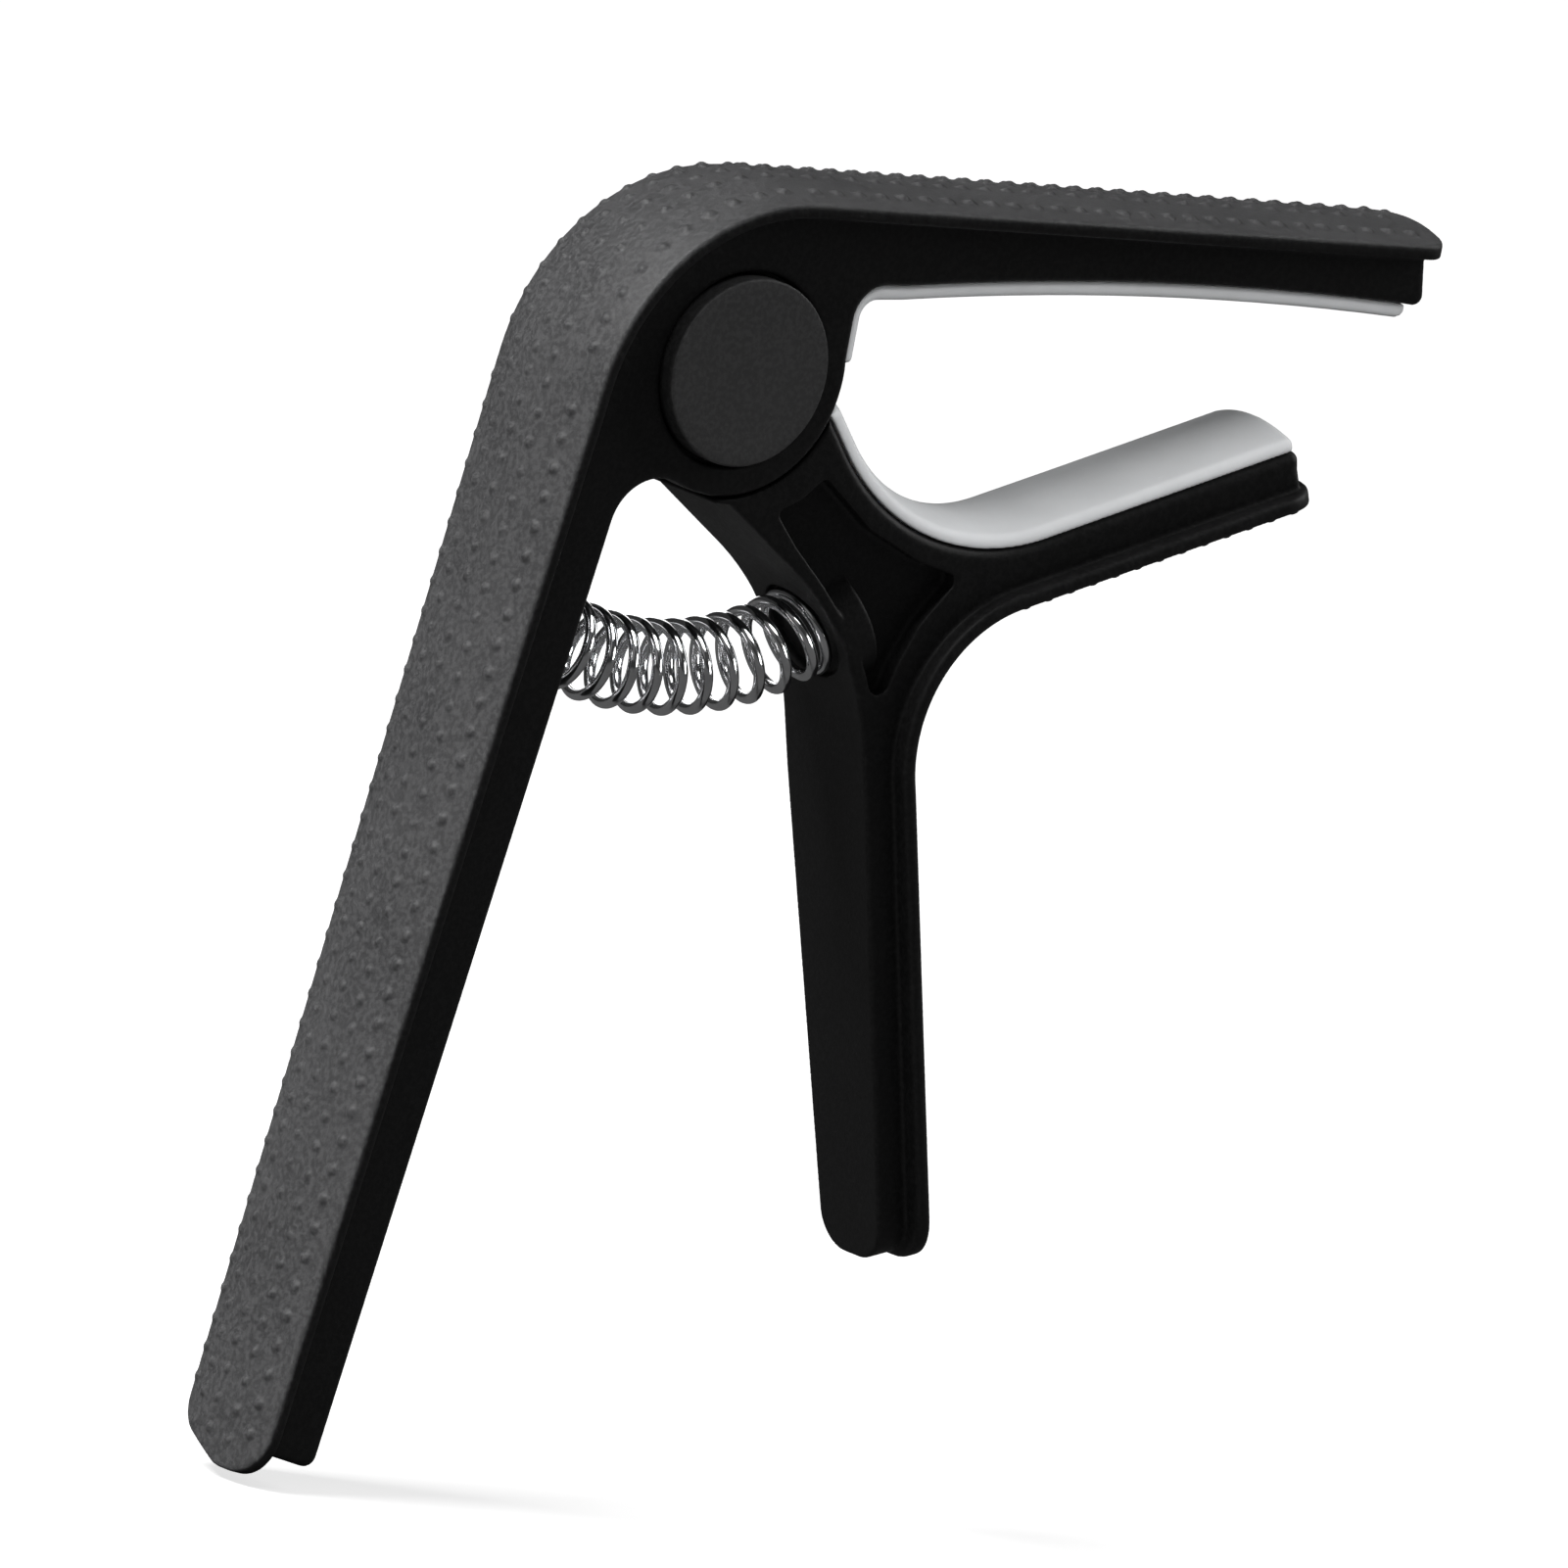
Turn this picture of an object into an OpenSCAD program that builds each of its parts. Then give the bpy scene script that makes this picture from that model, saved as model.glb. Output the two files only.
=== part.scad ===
// Spring-loaded guitar capo: a fixed upper lever (string bar and handle)
// and a trigger lever (neck jaw and handle) that turn on one pivot pin.
// Origin: crown of the string pad's contact face, where it lies on the strings.
// +X along the string bar towards its tip, +Y along the pivot pin, +Z away from
// the strings.  The profiles below are drawn about the pivot pin's axis and
// moved to the origin by in_frame().

/* [Upper lever] */
// Height of the string bar's outer face above the pivot axis
bar_top = 12.4; // [11.8:0.1:13]
// Distance from the pivot axis to the tip of the string bar's flange
bar_reach = 60.1; // [59.5:0.1:63]
// Distance from the pivot axis to the end of the string bar's web
bar_web_reach = 58; // [57:0.2:58.6]
// Radius of the outer bend round the pivot
bend_r = 16.5; // [16:0.1:17]
// How far along the bar the outer bend is centred
bend_x = 3.5; // [3.2:0.1:3.8]
// Lean of the upper handle from square to the bar, degrees
handle_lean = 8; // [7:0.5:9]
// Length of the upper handle's flange below the bend
handle_len = 81.3; // [76:0.1:90]
// Depth of the upper lever's T section, flange included
lever_depth = 5.45; // [5.2:0.05:5.8]

/* [Flanges and webs] */
// Thickness of the grip flanges
flange_t = 1; // [0.9:0.05:1.2]
// Height of the crown across the grip flanges
crown_h = 0.9; // [0.6:0.1:1.2]
// Half width of the grip flanges near the pivot
flange_hw = 6.3; // [6:0.1:6.8]
// Half width of the string bar's flange near its tip
bar_end_hw = 5.9; // [5.6:0.1:6.2]
// Half width of the grip flanges at the handle ends
flange_end_hw = 5.15; // [4.9:0.05:5.6]
// Half width of the upper lever's web near the pivot
web_hw = 5.1; // [5:0.05:5.3]
// Half width of the webs at the handle ends
web_end_hw = 3.7; // [3.4:0.1:4]
// Half width of the trigger lever's body
trig_hw = 4.85; // [4.7:0.05:5]

/* [Trigger lever] */
// Lean of the trigger handle from square to the bar, degrees
trig_lean = 16.5; // [15.5:0.5:17]
// Length of the trigger handle below its bend
trig_len = 40.6; // [36:0.2:48]
// Depth of the trigger handle's T section, flange included
trig_depth = 3.4; // [3.2:0.1:3.8]
// Slope of the neck jaw, degrees
jaw_slope = 20.4; // [20:0.2:21.4]
// Distance from the pivot axis to the end of the jaw's web
jaw_reach = 50.1; // [49:0.1:51]
// Depth of the jaw, flange included
jaw_depth = 3.8; // [3.6:0.05:4]
// Radius of the throat where the jaw meets the knuckle
throat_r = 16.8; // [16:0.2:17.6]

/* [Pivot] */
// Radius of the clevis ears
ear_r = 9.2; // [9:0.1:9.3]
// Half width of the slot between the ears
slot_hw = 3; // [2.9:0.05:3.1]
// Radius of the knuckle between the ears
knuckle_r = 7.6; // [7.4:0.1:7.7]
// Radius of the pivot pin
pin_r = 2.5; // [2.2:0.1:2.6]
// Outer radius of the pivot bush
bush_r = 3.4; // [3.3:0.05:3.6]
// Radius of the pivot caps
cap_r = 6.8; // [6.7:0.05:7]
// Height of the cap faces above the ears
cap_proud = 1; // [0.5:0.05:1.1]

/* [Pads] */
// Thickness of the string pad
string_pad_t = 1.2; // [1:0.1:1.4]
// Thickness of the string pad's return along the throat
return_pad_t = 0.95; // [0.8:0.05:1]
// Thickness of the neck pad at its crown
neck_pad_t = 1.9; // [1.8:0.1:2.4]
// Thickness of the neck pad at its edges
neck_pad_edge_t = 0.8; // [0.6:0.1:1]
// Half width of the pads
pad_hw = 4.6; // [4.3:0.1:4.7]

/* [Spring] */
// Outer radius of the coil spring
spring_or = 3.45; // [3.3:0.05:3.5]
// Wire diameter of the coil spring
spring_wire = 0.85; // [0.7:0.05:0.9]
// Number of turns, closed end turns included
spring_turns = 12.5; // [11:0.5:13]

/* [Grip dots] */
// Radius of the moulded grip dots
dot_r = 0.42; // [0.35:0.01:0.5]
// Height of the moulded grip dots
dot_h = 0.28; // [0.2:0.02:0.34]
// Distance between dots along a row
dot_pitch = 2.15; // [2:0.05:2.6]

/* [Hidden] */
$fn = 96;

lever_colour = [0.07, 0.07, 0.075];
pad_colour = [0.72, 0.73, 0.74];
spring_colour = [0.8, 0.8, 0.82];
pin_colour = [0.75, 0.75, 0.77];
bush_colour = [0.78, 0.62, 0.3];
washer_colour = [0.85, 0.85, 0.8];
ring_colour = [0.6, 0.6, 0.62];
cap_colour = [0.16, 0.16, 0.17];

eps = 0.01;
lap = 0.06;                    // extra thickness of a bend over the runs it joins
run_overlap = 0.4;             // how far a straight run starts inside its bend
web_sink = 0.3;                // depth of a web's edge below the flange's outer face
through = 20;                  // reach of cuts that pass right out of a side
cap_floor = web_hw - 1.2;      // floor of the cap recesses
knuckle_hw = slot_hw - 0.1;
washer_floor = slot_hw - 0.6;  // floor of the washer counterbores
bore_gap = 0.01;

// grooves that hold the pads' ribs; x ranges are [start, end]
groove_hw = 1.3;
groove_depth = 1;
string_groove = [16, 54];
neck_groove = [31, 46];
rib_gap = 0.1;                 // gap between a rib and its groove on each face
rib_hw = groove_hw - rib_gap;
rib_depth = groove_depth - rib_gap;

// ---- plane geometry: points and directions are [x, z] ------------------------
function direction(angle) = [cos(angle), sin(angle)];
function left_of(way) = [-way[1], way[0]];
function unit(v) = v / norm(v);
function heading(v) = atan2(v[1], v[0]);
// shortest turn between two headings
function turn(from, to) = ((to - from + 540) % 360) - 180;
// crossing point of two lines, each given by a point and a direction
function crossing(point, way, other, other_way) =
    point + way * cross(other - point, other_way) / cross(way, other_way);
function arc(centre, radius, start, sweep, steps, first = 0) =
    [for (i = [first : steps]) centre + radius * direction(start + sweep * i / steps)];
// arc that rounds the corner at vertex, as a list of points
function corner(before, vertex, after, radius, steps) =
    radius <= 0 ? [vertex] :
    let (back = unit(before - vertex), ahead = unit(after - vertex),
         half = acos(back * ahead) / 2,
         tangent = radius / tan(half),
         centre = vertex + unit(back + ahead) * (radius / sin(half)),
         start = heading(vertex + back * tangent - centre),
         end = heading(vertex + ahead * tangent - centre))
    arc(centre, radius, start, turn(start, end), steps);
function xy(v) = [v[0], v[1]];
// closed outline through corners [x, y, radius]
function outline(corners) = let (count = len(corners))
    [for (i = [0 : count - 1])
        let (this = corners[i])
        for (p = corner(xy(corners[(i + count - 1) % count]), xy(this),
                        xy(corners[(i + 1) % count]), this[2], this[2] < 4 ? 6 : 20)) p];

// ---- placing and extruding -------------------------------------------------
// shift from the pivot axis to the crown of the string pad's face
module in_frame() translate([-arch_x, 0, string_pad_t - arch_z]) children();
module place(point) translate([point[0], 0, point[1]]) children();
// copies on the rear (+Y) and front (-Y) sides
module both_sides() for (angle = [0, 180]) rotate([0, 0, angle]) children();
// extrusion of an X-Z outline, centred on the X-Z plane
module slab(hw) rotate([90, 0, 0]) linear_extrude(height = 2 * hw, center = true) children();
// extrusion of a Y-Z section along +X
module extrude_x(length) rotate([90, 0, 90]) linear_extrude(height = length) children();
// cylinder along Y between two stations
module rod(r, y0, y1) translate([0, y0, 0]) rotate([-90, 0, 0]) cylinder(r = r, h = y1 - y0);
// volume swept by a plan shape square to a face tilted about Y
module swept_plan(origin, tilt, reach)
    place(origin) rotate([0, tilt, 0])
        translate([0, 0, -reach]) linear_extrude(height = 2 * reach) children();

// plan shape of a flange or web that tapers from start to end along x
plan_back = 90;                // how far plan shapes run back before the taper
module taper_plan(start, end, start_hw, end_hw, corner_r = 0) difference() {
    translate([start - plan_back, -start_hw - 3])
        square([end - start + plan_back + 20, 2 * start_hw + 6]);
    for (side = [-1, 1]) scale([1, side]) {
        polygon([[start, start_hw], [end, end_hw], [end + 1, end_hw],
                 [end + 1, start_hw + 4], [start, start_hw + 4]]);
        translate([start - plan_back - 1, start_hw]) square([plan_back + 1 + eps, 4]);
        if (corner_r > 0) difference() {
            translate([end - corner_r, end_hw - corner_r]) square([corner_r + 1, corner_r + 1]);
            translate([end - corner_r, end_hw - corner_r]) circle(r = corner_r);
        }
    }
    translate([end, -20]) square([60, 40]);
}

// ---- crowned section and grip dots -----------------------------------------
function crown_radius(hw, rise) = (hw * hw + rise * rise) / (2 * rise);
crown_r = crown_radius(flange_hw, crown_h);
function crown(y) = crown_h - crown_r + sqrt(crown_r * crown_r - y * y);
// section of a grip flange: x across the flange, y out of its face
module flange_section(extra = 0) intersection() {
    translate([-flange_hw - 1, -flange_t - extra])
        square([2 * flange_hw + 2, flange_t + crown_h + 1]);
    translate([0, crown_h - crown_r]) circle(r = crown_r + extra, $fn = 240);
}

// rows of dots: [distance across the flange, shift along it in pitches]
dot_rows = [[-4.1, 0], [-1.2, 0.4], [1.3, 0.35], [3.8, 0.35], [5.6, 0.85]];
dot_sink = 0.3;
module dot(y) translate([0, y, crown(y)]) rotate([-asin(y / crown_r), 0, 0])
    translate([0, 0, -dot_sink])
        cylinder(r1 = dot_r + 0.05, r2 = dot_r * 0.75, h = dot_h + dot_sink, $fn = 16);
// a row's distance across a flange, drawn in as the flange narrows
function drawn_in(across, along, length, taper) = across * (1 - taper * along / length);
// bare length left at a handle's end; outer rows stop sooner at the rounded corners
function handle_margin(across) = abs(across) > 5 ? 4.5 : abs(across) > 2.5 ? 2.6 : 1.6;

// ---- upper lever -----------------------------------------------------------
bend_centre = [bend_x, bar_top - bend_r];
bend_sweep = 90 - handle_lean;
handle_tilt = 90 + handle_lean;                  // turns +X to point down the handle
handle_dir = direction(-handle_tilt);
handle_in = left_of(handle_dir);                 // inward, towards the trigger
handle_top = bend_centre - handle_in * bend_r;   // where bend and handle meet
handle_web_len = handle_len - 2.7;
function on_handle(along, depth) = handle_top + handle_dir * along + handle_in * depth;
// point where the bar and the handle would cross, depth inside the outer face
function knee(depth) = crossing([0, bar_top - depth], [1, 0], on_handle(0, depth), handle_dir);

// crowned flange along the bar, round the bend and down the handle
flange_overrun = 3;                              // excess length, trimmed by the plans
module upper_flange() union() {
    translate([bend_x - run_overlap, 0, bar_top])
        extrude_x(bar_reach - bend_x + flange_overrun) flange_section();
    place(bend_centre) rotate([90, 0, 0]) rotate([0, 0, 90])
        rotate_extrude(angle = bend_sweep, $fn = 180)
            translate([bend_r, 0]) rotate(-90) flange_section(lap);
    place(handle_top) rotate([0, handle_tilt, 0]) translate([-run_overlap, 0, 0])
        extrude_x(handle_len + flange_overrun) mirror([0, 1]) flange_section();
}

// underside of the string bar: a shallow arch over the strings
arch_r = 280;
arch_x = 43;                                     // crown of the arch
arch_z = 8.35;
arch_start = 13.5;
function arch(x, below = 0) = arch_z - below - pow(x - arch_x, 2) / (2 * arch_r);
function arch_line(x0, x1, below = 0) =
    [for (i = [0 : 12]) let (x = x0 + (x1 - x0) * i / 12) [x, arch(x, below)]];

// upright face that the string pad's return lies against
return_x = 9.1;
return_bend_r = 2.55;
return_top = [return_x, arch(arch_start) - 0.2];

// fillet between the ears and the inner face of the upper handle
gap_r = 3.8;
gap_inward = on_handle(0, lever_depth) * handle_in + gap_r;
gap_centre = handle_in * gap_inward
    + handle_dir * sqrt(pow(ear_r + gap_r, 2) - gap_inward * gap_inward);
gap_start = heading(-gap_centre);
gap_end = heading(-handle_in);
gap_on_ear = gap_centre * (ear_r / (ear_r + gap_r));
gap_arc = concat([gap_on_ear * 0.97],            // starts just inside the ear
    arc(gap_centre, gap_r, gap_start, turn(gap_start, gap_end), steps = 12, first = 1));

web_tip_x = bar_web_reach + 0.7;
module web_profile() union() {
    polygon(concat(
        // bar's tip and underside
        [[bar_web_reach, bar_top - web_sink]],
        corner([bar_web_reach, bar_top], [web_tip_x, arch(web_tip_x)], [40, arch(40)],
               radius = 0.6, steps = 5),
        arch_line(bar_web_reach - 1.5, arch_start),
        corner([arch_start, arch(arch_start)], return_top, [return_x, 0],
               return_bend_r, steps = 8),
        [[return_x, 1], [0, 0]],
        // handle's inner face and end
        gap_arc,
        corner(on_handle(0, lever_depth), on_handle(handle_web_len + 0.3, lever_depth),
               on_handle(handle_web_len, 0), radius = 1.6, steps = 6),
        [on_handle(handle_web_len, web_sink)],
        // outer bend
        corner(on_handle(20, web_sink), knee(web_sink), [20, bar_top - web_sink],
               bend_r - web_sink, steps = 26)));
    circle(r = ear_r);
}

// plan of the handle's flange; its end is cut a little askew
end_askew = 0.45;
handle_end_r = 4.6;
module handle_flange_plan() polygon(outline([
    [-plan_back, flange_hw, 0],
    [2, flange_hw, 0],
    [handle_len - end_askew, flange_end_hw, handle_end_r],
    [handle_len + end_askew, -flange_end_hw, handle_end_r],
    [2, -flange_hw, 0],
    [-plan_back, -flange_hw, 0]]));
// plan of the bar's flange, with a bowed tip
module bar_flange_plan() polygon(outline([
    [-plan_back, flange_hw, 0],
    [20, flange_hw, 0],
    [bar_reach - 0.6, bar_end_hw, 1.8],
    [bar_reach, 0, 30],
    [bar_reach - 0.6, -bar_end_hw, 1.8],
    [20, -flange_hw, 0],
    [-plan_back, -flange_hw, 0]]));

// opening between the ears for the trigger's knuckle and tongue; angles in degrees
tongue_start = -12;
tongue_end = -88;
squeeze = 22;                                    // full travel of the trigger
module sector(radius, start, end)
    polygon(concat([[0, 0]], arc([0, 0], radius, start, end - start, steps = 16)));
module slot_profile() {
    circle(r = knuckle_r + 0.4);
    sector(13, tongue_start + 0.5, tongue_end - squeeze - 4);
}

// spring line: an arc from the seat in the upper handle to the cup in the trigger
spring_centre = [0.8, 2.8];
spring_line_r = 25.4;
seat_angle = -28.4;
cup_angle = 31;
spring_hole_r = spring_or + 0.3;
seat_peg_r = 2.1;
function spring_point(angle) = spring_centre + spring_line_r * [sin(angle), -cos(angle)];
module along_spring(angle) place(spring_point(angle)) rotate([0, 90 - angle, 0]) children();

module upper_dots() for (row = dot_rows) {
    across = row[0];
    shift = row[1];
    // along the bar
    for (i = [0 : floor((bar_reach - bend_x - 3) / dot_pitch)]) {
        x = bend_x + 1 + (shift + i) * dot_pitch;
        if (x < bar_reach - 1.4)
            translate([x, 0, bar_top]) dot(drawn_in(across, x, bar_reach, taper = 0.06));
    }
    // round the bend
    for (i = [0 : 10])
        place(bend_centre) rotate([0, -(i + shift + 0.1) * bend_sweep / 11, 0])
            translate([0, 0, bend_r]) dot(across);
    // down the handle
    for (i = [0 : floor((handle_len - 3) / dot_pitch)]) {
        along = 1.6 + (shift + i) * dot_pitch;
        if (along < handle_len - handle_margin(across))
            place(on_handle(along, 0)) rotate([0, -bend_sweep, 0])
                dot(drawn_in(across, along, handle_len, taper = 0.18));
    }
}

module main_lever() in_frame() color(lever_colour) difference() {
    union() {
        intersection() {
            upper_flange();
            swept_plan(handle_top, handle_tilt, reach = 90) handle_flange_plan();
            swept_plan([0, 0], 0, reach = 120) bar_flange_plan();
        }
        intersection() {
            slab(8) web_profile();
            swept_plan(handle_top, handle_tilt, reach = 90)
                taper_plan(3.5, handle_web_len + 20, web_hw, web_end_hw);
        }
        upper_dots();
    }
    // slot for the knuckle, pin bore and cap recesses
    slab(slot_hw) slot_profile();
    rod(pin_r + bore_gap, -through, through);
    both_sides() rod(cap_r + 0.5, cap_floor, through);
    // seat for the spring, with its peg left standing
    along_spring(seat_angle) difference() {
        cylinder(r = spring_hole_r, h = 8);
        translate([0, 0, -1]) cylinder(r = seat_peg_r, h = 2.6);
    }
    // groove for the string pad's rib
    slab(groove_hw) polygon(concat(
        arch_line(string_groove[0], string_groove[1], -groove_depth),
        [[string_groove[1], 0], [string_groove[0], 0]]));
}

// ---- trigger lever ---------------------------------------------------------
trig_tilt = 90 - trig_lean;                      // turns +X to point down the handle
trig_dir = direction(-trig_tilt);
trig_out = left_of(trig_dir);                    // away from the upper handle
jaw_dir = direction(jaw_slope);                  // out along the jaw
jaw_up = left_of(jaw_dir);                       // towards the neck
jaw_point = [34, -9.15];                         // a point on the jaw's upper face
jaw_flange_reach = jaw_reach + 1.1;
trig_web_len = trig_len - 0.3;
trig_end_r = 3.2;                                // corner radius of the flange ends

// inner face of the trigger: shoulder line, then the handle line
shoulder_point = [1.5, -9.8];
shoulder_dir = direction(-33.3);
trig_knee = crossing(shoulder_point, shoulder_dir, [17.3, -27.2], trig_dir);
trig_knee_r = 21;
trig_start = 6.9;                                // from the knee to the handle's zero
function on_trig(along, depth) =
    trig_knee + trig_dir * (trig_start + along) + trig_out * depth;
// point at station x on the jaw's upper face, then depth square below it
function on_jaw(x, depth) = crossing([x, 0], [0, 1], jaw_point, jaw_dir) - jaw_up * depth;
// four-sided band along the jaw between two depths
function jaw_band(x0, x1, top, bottom) =
    [on_jaw(x0, top), on_jaw(x0, bottom), on_jaw(x1, bottom), on_jaw(x1, top)];

// throat: the cheek line beside the knuckle meets the jaw line
cheek_drop = 51;                                 // degrees below the bar's direction
cheek_point = [11.1, -5.6];
cheek_dir = direction(-cheek_drop);
// top of the cheek, where its line crosses a circle just outside the ears
cheek_along = cheek_point * cheek_dir;
cheek_top = cheek_point + cheek_dir * (-cheek_along
    + sqrt(pow(cheek_along, 2) - cheek_point * cheek_point + pow(1.03 * ear_r, 2)));
throat_corner = crossing(cheek_point, cheek_dir, jaw_point, jaw_dir);
throat_sweep = jaw_slope + cheek_drop;
throat_half = (180 - throat_sweep) / 2;
throat_tangent = throat_r / tan(throat_half);
throat_centre = throat_corner + unit(jaw_dir - cheek_dir) * (throat_r / sin(throat_half));

// fork: bend between the outer faces of the trigger handle and the jaw
fork_r = 10.8;
fork_half = acos(trig_dir * jaw_dir) / 2;
fork_tangent = fork_r / tan(fork_half);
function fork(depth) = crossing(on_trig(0, trig_depth - depth), trig_dir,
                                on_jaw(40, jaw_depth - depth), jaw_dir);
fork_centre = fork(0) + unit(trig_dir + jaw_dir) * (fork_r / sin(fork_half));

module trig_outline() polygon(concat(
    // cheek, throat and jaw
    [cheek_top],
    corner(cheek_point, throat_corner, jaw_point, throat_r, steps = 24),
    corner(throat_corner, on_jaw(jaw_reach + 0.5, 0), on_jaw(jaw_reach, jaw_depth),
           radius = 0.6, steps = 4),
    [on_jaw(jaw_reach, jaw_depth - web_sink)],
    // fork and handle
    corner(on_jaw(jaw_reach, jaw_depth - web_sink), fork(web_sink),
           on_trig(trig_web_len, trig_depth - web_sink), fork_r + web_sink, steps = 24),
    [on_trig(trig_web_len + 1, trig_depth - web_sink), on_trig(trig_web_len + 1, 0)],
    // inner face, back to the knuckle
    corner(on_trig(trig_web_len, 0), trig_knee, shoulder_point, trig_knee_r, steps = 18),
    [shoulder_point, 1.06 * ear_r * direction(tongue_end - 2), [2, -6], [6, -3]]));

// crowned flange down the trigger handle, round the fork and out along the jaw
module trig_flange() union() {
    place(fork(0)) {
        rotate([0, -jaw_slope, 0]) translate([fork_tangent - run_overlap, 0, 0])
            extrude_x(40) mirror([0, 1]) flange_section();
        rotate([0, trig_tilt, 0]) translate([fork_tangent - run_overlap, 0, 0])
            extrude_x(50) flange_section();
    }
    place(fork_centre) rotate([90, 0, 0]) rotate([0, 0, 90 + jaw_slope])
        rotate_extrude(angle = 90 + trig_lean - jaw_slope, $fn = 180)
            translate([fork_r, 0]) rotate(90) flange_section(lap);
}

// recessed side pocket, leaving a rim along every edge of the body
pocket_depth = 1.5;
pocket_rim = 2;
module pocket_profile() difference() {
    polygon([12 * direction(-38.5), [14, -9], [22.9, -12.6], [22.6, -14.3],
             [20.5, -18], [18.3, -22.3], [17.7, -22.75], [17, -22.6], [16.6, -22],
             [15.4, -19.2], [13.8, -17.1], [12, -15.5], [8.6, -12.7],
             11.6 * direction(-62)]);
    circle(r = ear_r + 2.65);
    translate(throat_centre) circle(r = throat_r + pocket_rim);
    translate(fork_centre) circle(r = fork_r + flange_t + 2.35);
}

module trig_dots() for (row = dot_rows) {
    across = row[0];
    shift = row[1];
    // down the handle
    for (i = [0 : floor((trig_len - 4) / dot_pitch)]) {
        along = 5 + (shift + i) * dot_pitch;
        if (along < trig_len - handle_margin(across))
            place(on_trig(along, trig_depth)) rotate([0, trig_tilt, 0])
                dot(drawn_in(across, along, trig_len, taper = 0.17));
    }
    // out along the jaw
    for (i = [0 : 11]) {
        x = 29.5 + (shift + i) * dot_pitch;
        if (x < jaw_flange_reach - (abs(across) > 5 ? 3.4 : 1.6))
            place(on_jaw(x, jaw_depth)) rotate([0, 180 - jaw_slope, 0]) dot(across);
    }
}

module trig_plan(start_hw, end_hw, length, corner_r)
    swept_plan(trig_knee, trig_tilt, reach = 60)
        taper_plan(12, length + trig_start, start_hw, end_hw, corner_r);

module trigger_lever() in_frame() color(lever_colour) difference() {
    union() {
        // body and webs, with a pocket in each side
        intersection() {
            difference() {
                slab(8) trig_outline();
                for (side = [-1, 1])
                    translate([0, side * (trig_hw - pocket_depth + 4), 0])
                        slab(4) pocket_profile();
            }
            trig_plan(trig_hw, web_end_hw - 0.2, trig_web_len, corner_r = 2.6);
        }
        intersection() {
            trig_flange();
            trig_plan(flange_hw, flange_end_hw, trig_len, trig_end_r);
            swept_plan(on_jaw(0, 0), -jaw_slope, reach = 60)
                taper_plan(20, jaw_flange_reach / cos(jaw_slope),
                           flange_hw, flange_hw, trig_end_r);
        }
        // wall of the spring cup, showing as a bulge in the pockets
        intersection() {
            along_spring(cup_angle) translate([0, 0, -1.2]) cylinder(r = trig_hw - 0.1, h = 3.4);
            slab(trig_hw) trig_outline();
        }
        trig_dots();
        // knuckle and tongue between the ears
        slab(knuckle_hw) {
            circle(r = knuckle_r);
            intersection() {
                sector(ear_r + 1, tongue_start, tongue_end);
                difference() {
                    circle(r = ear_r - 0.1);
                    circle(r = 3);
                }
            }
        }
    }
    // relief for the ears on both sides of the tongue
    both_sides() rod(ear_r + 0.25, knuckle_hw, through);
    // bush bore and washer counterbores
    rod(bush_r + bore_gap, -through, through);
    both_sides() rod(6.8, washer_floor, through);
    // bore of the spring cup
    along_spring(cup_angle) translate([0, 0, -12]) cylinder(r = spring_hole_r, h = 12.2);
    // groove for the neck pad's rib
    slab(groove_hw) polygon(jaw_band(neck_groove[0], neck_groove[1], -1, groove_depth));
}

// ---- pads ------------------------------------------------------------------
string_pad_end = 57.6;
string_pad_gap = 0.03;                           // between the pad and the lever
module string_pad() in_frame() color(pad_colour) union() {
    gap = string_pad_gap;
    face_x = return_x + return_pad_t;
    slab(pad_hw) polygon(concat(
        // side against the lever
        arch_line(string_pad_end, arch_start, gap),
        corner([arch_start, arch(arch_start, gap)], return_top + [gap, -gap],
               [return_x + gap, 0], return_bend_r + gap, steps = 8),
        // lower end of the return
        [[return_x + gap, 1.6], [return_x + 0.1, 0.8], [face_x, 0.8]],
        // exposed face
        corner([face_x, 0], [face_x, arch(11.6, string_pad_t)],
               [arch_start, arch(arch_start, string_pad_t)], radius = 1.3, steps = 6),
        arch_line(arch_start, string_pad_end, string_pad_t)));
    // locating rib
    rib_start = string_groove[0] + rib_gap;
    rib_end = string_groove[1] - rib_gap;
    slab(rib_hw) polygon(concat(arch_line(rib_start, rib_end, -rib_depth),
                                arch_line(rib_end, rib_start, 0.2)));
}

// crowned cross-section: x is height above the jaw, y is across the jaw
module pad_section(extra = 0) {
    pad_crown_r = crown_radius(pad_hw, neck_pad_t - neck_pad_edge_t);
    intersection() {
        translate([0.09 - extra, -pad_hw - 0.5]) square([neck_pad_t + 1, 2 * pad_hw + 1]);
        translate([neck_pad_t - pad_crown_r, 0]) circle(r = pad_crown_r + extra);
    }
}
cheek_run = 3.35;                                // length of the pad up the cheek
module neck_pad_strip() union() {
    // along the jaw
    place(throat_corner) rotate([0, -jaw_slope, 0])
        translate([throat_tangent - run_overlap, 0, 0])
            extrude_x((jaw_reach + 0.1 - throat_corner[0]) / cos(jaw_slope)
                      - throat_tangent + run_overlap)
                rotate(90) pad_section();
    // round the throat
    place(throat_centre) rotate([90, 0, 0]) rotate([0, 0, 270 - cheek_drop])
        rotate_extrude(angle = throat_sweep, $fn = 180)
            translate([throat_r, 0]) mirror([1, 0]) pad_section(lap);
    // up the cheek beside the knuckle
    place(throat_corner) rotate([0, cheek_drop, 0])
        translate([-throat_tangent - cheek_run, 0, 0])
            extrude_x(cheek_run + run_overlap) rotate(90) pad_section();
}
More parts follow.
